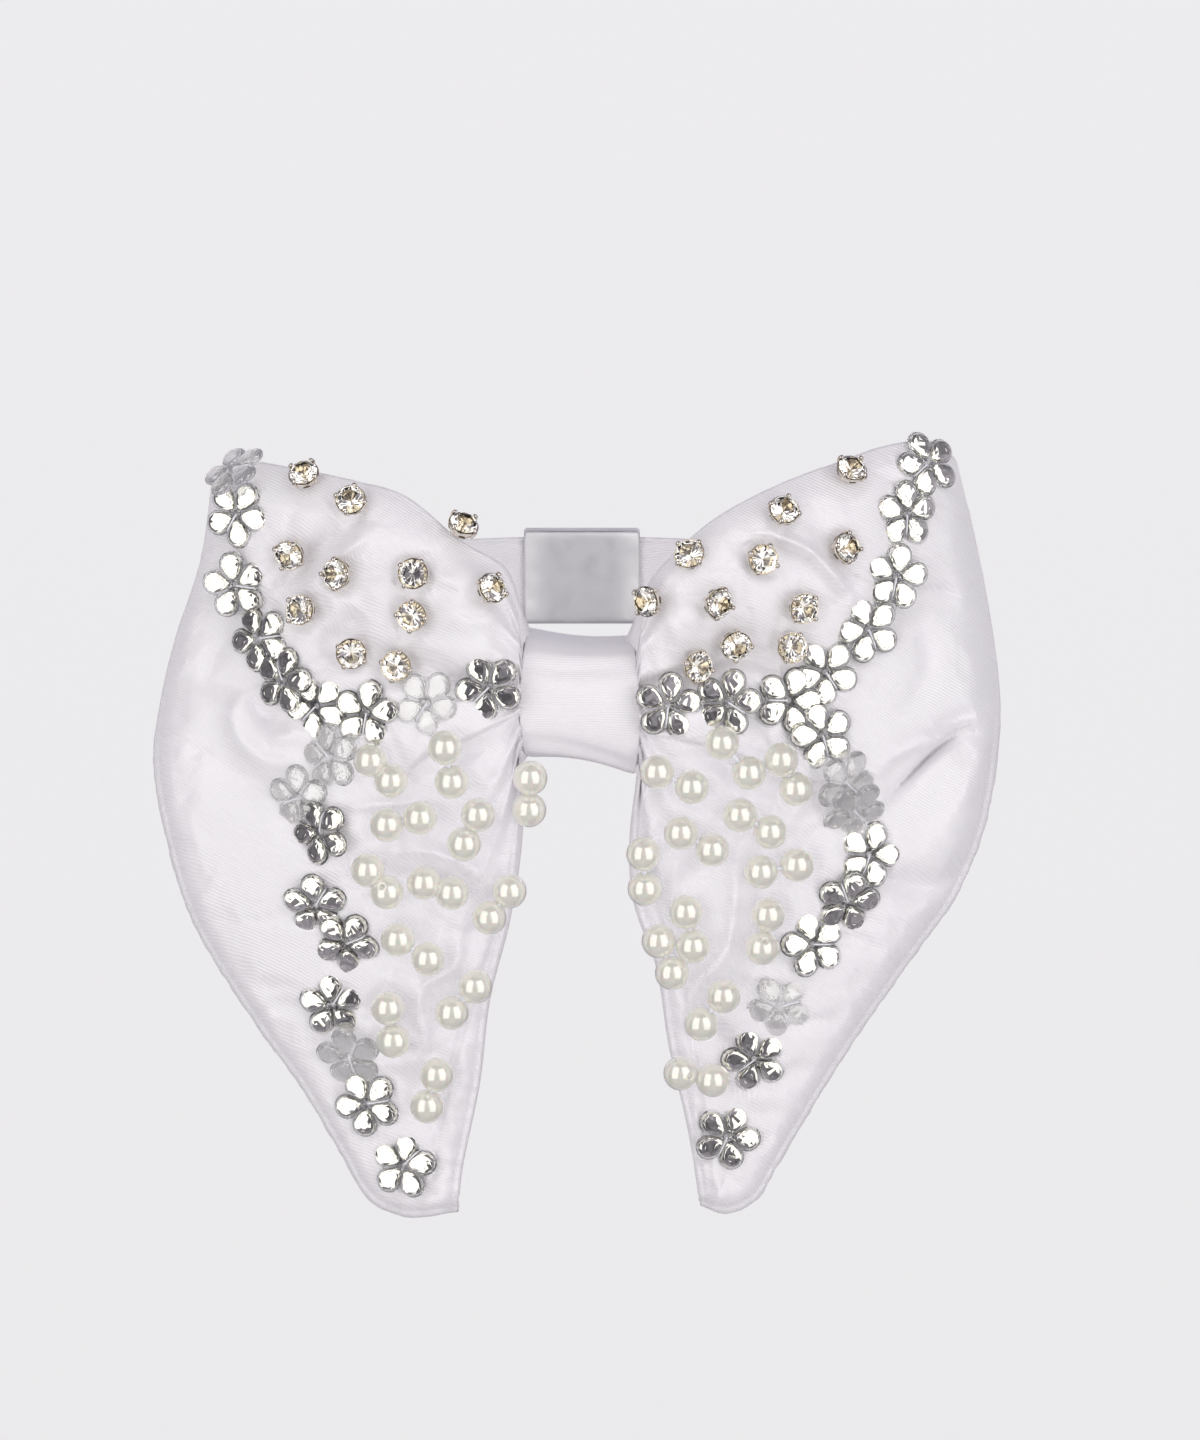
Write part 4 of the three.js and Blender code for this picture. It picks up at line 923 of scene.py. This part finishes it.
# Frames of stones: each faces as the cloth does, plus its leans, is seated where its underside
# clears the cloth, and is moved until it is seen at its place.
def stoneFrames(wing, across, up, spin=0.0, faceUp=0.0, faceOut=0.0, foot=2.0, raised=0.0):
    spin, faceUp, faceOut = (np.broadcast_to(np.radians(angle), across.shape)
                             for angle in (spin, faceUp, faceOut))
    x, z = across.copy(), up.copy()
    turn = turnSteps(seatForm["around"])
    ring = np.concatenate([foot * share * gridOf(np.cos(turn), np.sin(turn)) for share in seatForm["shares"]])
    for _ in range(seatForm["steps"]):
        facing = turnAbout(clothFacing(wing, x, z, seatForm["span"]), viewRight, -faceUp)
        facing = turnAbout(facing, np.array([0.0, 0.0, 1.0]), faceOut * wing["sign"])
        origin = clothPoint(wing, x, z)
        right = unit(viewRight - facing * (facing @ viewRight)[:, None])
        over = np.cross(facing, right)
        under = origin[:, None] + ring[:, :1] * right[:, None] + ring[:, 1:] * over[:, None]
        behind = np.percentile(under[..., 1] - clothDepth(wing, *seenAt(under)), seatForm["percent"], axis=1)
        lift = raised + np.maximum(0, behind) / np.maximum(seatForm["leastFacing"], -facing[:, 1])
        position = origin + facing * lift[:, None]
        seenAcross, seenUp = seenAt(position)
        x, z = x + across - seenAcross, z + up - seenUp
    cosine, sine = np.cos(spin)[:, None], np.sin(spin)[:, None]
    return {"origin": position, "x": right * cosine + over * sine, "y": over * cosine - right * sine,
            "z": facing}


# Some frames of many.
def someOf(frames, keep):
    return {name: values[keep] for name, values in frames.items()}


# Joins several point and face lists into one.
def joinShapes(shapes):
    starts = np.cumsum([0] + [len(points) for points, _ in shapes])
    return (np.concatenate([points for points, _ in shapes]),
            np.concatenate([faces + start for (_, faces), start in zip(shapes, starts)]))


# A shape of local points (in millimetres) placed in many frames: one copy for each frame.
def placeCopies(shape, frames):
    points, faces = shape
    axes = np.stack([frames["x"], frames["y"], frames["z"]], axis=1)
    placed = np.einsum("pk,fkc->fpc", points, axes) + frames["origin"][:, None]
    return joinShapes([(copy, faces) for copy in placed])


flowerForm = {"petals": 5, "facets": 12, "petalAt": 3.68, "outward": 2.02, "inward": 2.75, "halfWidth": 1.93,
              "pinch": 0.36, "slant": 0.07, "cut": 0.014, "rim": 0.30, "hole": 0.5, "around": 120,
              "foot": 5.0, "raised": 0.1}
# share of the petal's outline, height above the foot, turn in facets
petalRings = [(1.0, 0.30, 0), (0.97, 0.80, 0.5), (0.88, 1.10, 0), (0.70, 1.20, 0.5), (0.42, 1.25, 0)]
# share of the way from the hole to the flange's outline, and height, from the upper face round to the lower
flangeSection = columns("share height", [
    (0, 0.35), (0.12, 0.62), (0.35, 0.66), (0.6, 0.6), (0.8, 0.56), (0.93, 0.53), (0.985, 0.45), (1.0, 0.27),
    (0.985, 0.06), (0.0, 0.0)])


# Outline of a petal about its own middle: an ellipse on the outer side, drawn out and pinched
# towards the centre of the flower.
def petalOutline(angle):
    form = flowerForm
    inner = np.maximum(0, -np.cos(angle))
    long = np.where(np.cos(angle) > 0, form["outward"], form["inward"])
    wide = form["halfWidth"] * np.sin(angle) * (1 - form["pinch"] * inner)
    return form["petalAt"] + long * np.cos(angle), wide


# A cut petal: rings of facets from the outline up to a table that slants outwards and is cut
# a little unevenly.
def petalMesh():
    form = flowerForm
    number = np.arange(form["facets"])
    middle = form["petalAt"] - 0.15
    rows = []
    for i, (share, height, turn) in enumerate(petalRings):
        x, y = petalOutline((number + turn) * 2 * math.pi / form["facets"])
        out = (x - middle) * share
        cut = form["cut"] * np.sin(number * 2.6 + i) * (share < 0.9)
        rows.append(gridOf(middle + out, y * share, height - form["slant"] * out + cut))
    return tubeShape(np.array(rows))


# A petal's shape turned about Z once for every petal.
def aroundFlower(shape):
    points, faces = shape
    x, y, z = points.T
    petals = [gridOf(x * math.cos(turn) - y * math.sin(turn), x * math.sin(turn) + y * math.cos(turn), z)
              for turn in turnSteps(flowerForm["petals"])]
    return joinShapes([(petal, faces) for petal in petals])


# Radius of the flange in each direction: the far side of a circle round each petal.
def flangeRadius(angle):
    form = flowerForm
    step = 2 * math.pi / form["petals"]
    local = (angle + step / 2) % step - step / 2
    radius = form["outward"] + form["rim"] - 0.1
    inside = np.clip(radius**2 - (form["petalAt"] * np.sin(local)) ** 2, 0, None)
    return form["petalAt"] * np.cos(local) + np.sqrt(inside) + 0.1


# The flange: a plate with rounded edges and a hole, a little dished towards the hole.
def flangeMesh():
    form = flowerForm
    angle = turnSteps(form["around"])[None, :]
    radius = form["hole"] + (flangeRadius(angle) - form["hole"]) * flangeSection["share"][:, None]
    return ringShape(revolved(radius, flangeSection["height"][:, None], angle), flip=True)


# A round thread along a line of points, narrowed at both ends.
def threadTube(line, radius, sides=8):
    along = unit(np.gradient(line, axis=0))
    guide = np.where(np.abs(along[:, 1:2]) > 0.9, np.array([[1.0, 0, 0]]), np.array([[0, 1.0, 0]]))
    side = unit(np.cross(along, guide))
    over = np.cross(along, side)
    angle = turnSteps(sides)[None, :, None]
    sizes = np.full(len(line), radius)
    sizes[0] = sizes[-1] = radius * 0.15
    ring = np.cos(angle) * side[:, None] + np.sin(angle) * over[:, None]
    return tubeShape(line[:, None] + ring * sizes[:, None, None])


flangeShape, petalShape = flangeMesh(), aroundFlower(petalMesh())
for wing in (leftWing, rightWing):
    table = wing["flowers"]
    frames = stoneFrames(wing, *table.values(), foot=flowerForm["foot"], raised=flowerForm["raised"])
    wing["flowerFrames"] = frames
    clearOnes = np.isin(np.arange(len(table["up"])), wing["clearFlowers"])
    for part, shape, chosen, material, smooth in (
            ("flower_flanges", flangeShape, frames, acrylic, True),
            ("foiled_petals", petalShape, someOf(frames, ~clearOnes), foil, False),
            ("clear_petals", petalShape, someOf(frames, clearOnes), greyAcrylic, False)):
        piece = putMesh(f"{wing['name']}_{part}", *placeCopies(shape, chosen), material, "flower_stone",
                        smooth=smooth)
        piece.visible_shadow = material is foil  # clear stones pass on the light that they would hide
        if part == "flower_flanges":
            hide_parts(f"{wing['name']}_flower_trail")

print("stage: crystals")

# crown: radius and height above the girdle of the even and the odd points of its upper facets
crystalForm = {"facets": 12, "culet": (0.12, 0.34), "girdle": 2.5, "girdleAt": (2.48, 2.52, 2.62),
               "crown": ((2.08, 0.52), (2.22, 0.36)), "table": 1.62, "tableAt": 3.42,
               "claw": 0.27, "clawSpread": 0.6, "lean": 8, "foot": 1.6, "raised": 0.05}
# radius and height of the foil, from the culet up inside and down again outside
foilSection = [(0.13, 0.30), (2.53, 2.48), (2.58, 2.48), (0.16, 0.25)]
# an opening in the cup's wall: its middle, half sizes, slope, and depth and size of its rings
cupHole = {"out": 2.32, "up": 1.15, "half": (0.62, 0.42), "slope": (0.5, 0.85),
           "rings": ((-0.2, 0.9), (0.03, 1.0), (0.06, 0.7), (0.02, 0.05))}
# radius and height of the cup's section, from the middle of its foot over the lip to the middle inside
cupSection = columns("radius height", [
    (0.02, 0), (1.45, 0), (1.6, 0.12), (2.05, 0.75), (2.45, 1.4), (2.62, 1.9), (2.72, 2.15), (2.66, 2.34),
    (2.5, 2.2), (2.3, 1.5), (1.5, 0.35), (0.02, 0.15)])
# radius and height along a claw
clawPath = [(2.42, 0.9), (2.66, 1.7), (2.84, 2.35), (2.78, 2.9), (2.44, 3.16), (2.14, 3.22)]


# Rings of radii and heights with as many points as the stone has facets.
def facetedShape(rings, flip=False):
    angle = turnSteps(crystalForm["facets"])
    return tubeShape(np.array([revolved(radius, height, angle) for radius, height in rings]), flip=flip)


# Cut stone: rings of 12 points, table, crown and girdle over a pavilion of narrow facets.
def stoneMesh():
    form = crystalForm
    even = np.arange(form["facets"]) % 2 == 0
    (evenRadius, evenRise), (oddRadius, oddRise) = form["crown"]
    chord = np.where(even, 1, math.cos(2 * math.pi / form["facets"]))
    rings = [form["culet"], *((form["girdle"], height) for height in form["girdleAt"]),
             (np.where(even, evenRadius, oddRadius), form["girdleAt"][-1] + np.where(even, evenRise, oddRise)),
             (chord * form["table"], form["tableAt"])]
    return facetedShape(rings)


# Foil: an open-topped shell a hair outside the pavilion, its facets in line with the stone's.
def foilMesh():
    return facetedShape(foilSection, flip=True)


# Cup: a flared wall with a rolled lip, closed below.
def cupMesh():
    radius, height = (cupSection[name][:, None] for name in ("radius", "height"))
    return ringShape(revolved(radius, height, turnSteps(48)[None, :]))


# Four claws: flattened prongs that rise from the wall and bend in over the girdle.
def clawsMesh():
    radius, height = smoothLine(clawPath, 10).T
    shapes = []
    for turn in turnSteps(4) + math.pi / 4:
        points, faces = threadTube(revolved(radius, height, turn), crystalForm["claw"])
        side = np.array([-math.sin(turn), math.cos(turn), 0.0])
        shapes.append((points + side * (points @ side)[:, None] * crystalForm["clawSpread"], faces))
    return joinShapes(shapes)


# Four small openings in the cup's wall, between the claws, as lens-shaped insets painted near-black as the
# shade inside the openings.
def cupHolesMesh():
    t = turnSteps(12)[:, None]
    wide, tall = cupHole["half"]
    outward, upward = cupHole["slope"]
    shapes = []
    for turn in turnSteps(4):
        out = np.array([math.cos(turn), math.sin(turn), 0.0])
        side = np.array([-math.sin(turn), math.cos(turn), 0.0])
        up = unit(out * outward + np.array([0, 0, upward]))
        centre = out * cupHole["out"] + np.array([0, 0, cupHole["up"]])
        rings = [centre + depth * out + size * (np.cos(t) * side * wide + np.sin(t) * up * tall)
                 for depth, size in cupHole["rings"]]
        shapes.append(tubeShape(np.array(rings)))
    return joinShapes(shapes)


crystalParts = (("claw_cup", joinShapes([cupMesh(), clawsMesh()]), cupMetal, True),
                ("cup_holes", cupHolesMesh(), cupHoleShade, True),
                ("stone", stoneMesh(), cutCrystal, False),
                ("pavilion", foilMesh(), pavilionMirror, False))
for wing in (leftWing, rightWing):
    table = wing["crystals"]
    leans = rng.normal(0, crystalForm["lean"], (2, len(table["up"])))
    frames = stoneFrames(wing, *table.values(), *leans, foot=crystalForm["foot"], raised=crystalForm["raised"])
    for i in range(len(table["up"])):
        for part, shape, material, smooth in crystalParts:
            placed = placeCopies(shape, someOf(frames, [i]))
            piece = putMesh(f"{wing['name']}_{part}_{i + 1:02d}", *placed, material, "crystal", smooth=smooth)
            piece.visible_shadow = material is cupHoleShade  # metal and glass throw on as much light as they hide
            if part == "claw_cup":
                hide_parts(f"{wing['name']}_crystal_{i + 1:02d}")

print("stage: pearls and thread")

# holeSection: radius and height below the hole's edge; tilts are shares of the pair's distance
pearlForm = {"radius": 3.0, "around": 40, "rings": 26, "hole": 0.55, "foot": 1.0, "raised": 3.05,
             "holeSection": [(0.02, -1.2), (0.44, -1.1), (0.473, -0.1)], "turnedTilt": 1.6, "mostTilt": 0.3,
             "stitch": 0.42, "stitchInside": 0.6}
# where a flower's thread runs, in shares along its face and out through a notch between petals
flowerThread = {"up": [0.3, 0.75, 0.85, 0.8, 0.7, 0.2, -0.3], "out": [0, 0.15, 0.6, 1.8, 3.0, 3.6, 3.7],
                "radius": 0.16}


# Pearl: a sphere about Z whose poles turn in to a drilled hole.
def pearlMesh():
    form = pearlForm
    start = math.asin(form["hole"] / form["radius"])
    polar = np.linspace(start, math.pi - start, form["rings"])
    sphere = form["radius"] * gridOf(np.sin(polar), np.cos(polar))
    hole = np.array(form["holeSection"]) + (0, sphere[0, 1])
    profile = np.concatenate([hole, sphere, hole[::-1] * (1, -1)])
    return tubeShape(revolved(profile[:, :1], profile[:, 1:], turnSteps(form["around"])[None, :]), flip=True)


# A frame whose Z axis is the given direction.
def axisFrame(origin, direction):
    z = unit(direction)
    x = unit(np.cross(z, [0.31, 0.2, 0.93]))
    return {"origin": origin[None], "x": x[None], "y": np.cross(z, x)[None], "z": z[None]}


pearlShape = pearlMesh()
for wing in (leftWing, rightWing):
    table = wing["pearls"]
    threads = []
    centres = [stoneFrames(wing, table["across" + k], table["up" + k], foot=pearlForm["foot"],
                           raised=pearlForm["raised"])["origin"] for k in ("1", "2")]
    for i, (first, second) in enumerate(zip(*centres)):
        along = second - first
        shapes = []
        for k, point in enumerate((first, second)):
            turned = (i, k) in wing["turnedPearls"]
            tilt = pearlForm["turnedTilt"] if turned else rng.uniform(0, pearlForm["mostTilt"])
            facing = np.array([0.1, -1.0, 0.1]) * np.linalg.norm(along) * tilt
            shapes.append(placeCopies(pearlShape, axisFrame(point, along * (1 - 2 * k) + facing)))
        piece = putMesh(f"{wing['name']}_pearls_{i + 1:02d}", *joinShapes(shapes), pearlLustre, "pearl")
        piece.visible_diffuse = False  # the light that pearls pass on keeps the cloth between them bright
        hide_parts(f"{wing['name']}_pearl_pair_{i + 1:02d}")
        reach = unit(along) * (pearlForm["radius"] - pearlForm["stitchInside"])
        threads.append(threadTube(np.linspace(first + reach, second - reach, 6), pearlForm["stitch"]))
    for origin, x, y, z in zip(*(wing["flowerFrames"][name] for name in ("origin", "x", "y", "z"))):
        notch = math.pi / 5 + 2 * math.pi / 5 * rng.integers(0, 5)
        out = x * math.cos(notch) + y * math.sin(notch)
        path = np.outer(flowerThread["up"], z) + np.outer(flowerThread["out"], out)
        threads.append(threadTube(smoothLine(path, 14) + origin, flowerThread["radius"]))
    putMesh(f"{wing['name']}_threads", *joinShapes(threads), sewingThread, "pearl")

print("stage: floor, lights and camera")

# glow: distance from the middle in metres and how strongly the floor shines there
floorForm = {"level": -1.2, "size": 800.0, "colour": (0.815, 0.815, 0.795, 1), "reach": 12.0,
             "glow": [(0.0, 0.04), (2.3, 0.04), (3.3, 0.74), (6.0, 0.76), (12.0, 0.77)]}


# The floor: a large pale square that shines faintly by its distance from the middle.
def makeFloor():
    form = floorForm
    mesh = bpy.data.meshes.new("floor")
    corners = [(x * form["size"] / 2, y * form["size"] / 2, form["level"])
               for x, y in ((-1, -1), (1, -1), (1, 1), (-1, 1))]
    mesh.from_pydata(corners, [], [(0, 1, 2, 3)])
    material, tree, shader = newMaterial("pale_floor", Base_Color=form["colour"], Emission_Color=form["colour"],
                                         Roughness=0.9, Specular_IOR_Level=0.1)
    away = addNode(tree, "ShaderNodeVectorMath", operation="LENGTH")
    tree.links.new(objectPlace(tree), away.inputs[0])
    share = mathNode(tree, "DIVIDE", away.outputs["Value"], form["reach"])
    glow = addNode(tree, "ShaderNodeValToRGB", Fac=share)
    stops = glow.color_ramp.elements
    for i, (distance, level) in enumerate(form["glow"]):
        stop = stops[i] if i < 2 else stops.new(distance / form["reach"])
        stop.position = distance / form["reach"]
        stop.color = (level, level, level, 1)
    tree.links.new(glow.outputs["Color"], shader.inputs["Emission Strength"])
    mesh.materials.append(material)
    floor = newObject("floor", mesh)
    floor.visible_glossy = False


# Turns a light or camera so that its own axes are right, up and away from its view.
def aim(piece, right, up, forward):
    piece.rotation_euler = Matrix([list(v) for v in zip(right, up, -forward)]).to_euler()


# colours of the lights and of the surroundings; front and sky are how bright those are in front
# of the bow and behind it
lightForm = {"colour": (1.0, 0.99, 0.975), "fillColour": (0.95, 0.90, 1.06), "front": 0.26, "sky": 0.44,
             "patches": 1.6, "aimedAt": (0.0, -0.07, -0.01)}
# azimuth, elevation, distance, width, height, radiance
softboxes = {"left_softbox": (-39, 11, 1.1, 0.95, 1.75, 1.23), "right_softbox": (39, 11, 1.1, 0.95, 1.75, 1.23),
             "top_softbox": (0, 66, 1.5, 1.2, 0.8, 1.0), "back_left_softbox": (-142, 25, 1.5, 0.8, 1.1, 0.45),
             "back_right_softbox": (142, 25, 1.5, 0.8, 1.1, 0.45)}


# An area light at an azimuth and elevation round the bow, aimed at it: its energy is its
# radiance times pi times its area.
def softbox(name, azimuth, elevation, distance, width, height, radiance):
    light = bpy.data.lights.new(name, "AREA")
    light.shape = "RECTANGLE"
    light.size, light.size_y = width, height
    light.energy = radiance * math.pi * width * height
    light.color = lightForm["colour"]
    piece = newObject(name, light)
    a, e = math.radians(azimuth), math.radians(elevation)
    back = np.array([math.sin(a) * math.cos(e), -math.cos(a) * math.cos(e), math.sin(e)])
    piece.location = np.array(lightForm["aimedAt"]) + back * distance
    right = unit(np.cross(-back, [0, 0, 1]))
    aim(piece, right, np.cross(right, -back), -back)
    piece.visible_camera = False
    piece.visible_glossy = name != "top_softbox"  # it would turn the foil white


# Soft surroundings: dim in front, pale behind, in large uneven patches as a room has.
def makeWorld():
    world = bpy.data.worlds.new("soft_studio")
    world.use_nodes = True
    bpy.context.scene.world = world
    tree = world.node_tree
    direction = addNode(tree, "ShaderNodeTexCoord").outputs["Generated"]
    split = addNode(tree, "ShaderNodeSeparateXYZ", Vector=direction)
    level = addNode(tree, "ShaderNodeMapRange", interpolation_type="SMOOTHSTEP", From_Min=0.1, From_Max=0.9,
                    To_Min=lightForm["front"], To_Max=lightForm["sky"], Value=split.outputs["Y"])
    uneven = addNode(tree, "ShaderNodeMapRange", From_Min=0.35, From_Max=0.65, To_Min=0.35, To_Max=1.65,
                     Value=cloudNode(tree, direction, lightForm["patches"]))
    background = tree.nodes["Background"]
    background.inputs["Color"].default_value = (*lightForm["fillColour"], 1)
    strength = mathNode(tree, "MULTIPLY", level.outputs["Result"], uneven.outputs["Result"])
    tree.links.new(strength, background.inputs["Strength"])


cameraForm = {"lens": 203.0, "sensor": 36.0, "centreAcross": 3.45, "centreUp": -3.1, "clip": (0.05, 1000)}


# The camera stands at the front view's eye, moved so that the bow sits as in the frame.
def makeCamera():
    form = cameraForm
    data = bpy.data.cameras.new("camera")
    data.lens, data.sensor_width = form["lens"], form["sensor"]
    data.clip_start, data.clip_end = form["clip"]
    camera = newObject("camera", data)
    camera.location = (viewEye + viewRight * form["centreAcross"] + viewUp * form["centreUp"]) * mm
    aim(camera, viewRight, viewUp, viewForward)
    bpy.context.scene.camera = camera


makeFloor()
for name, values in softboxes.items():
    softbox(name, *values)
makeWorld()
makeCamera()
bpy.context.scene.view_settings.view_transform = "Standard"
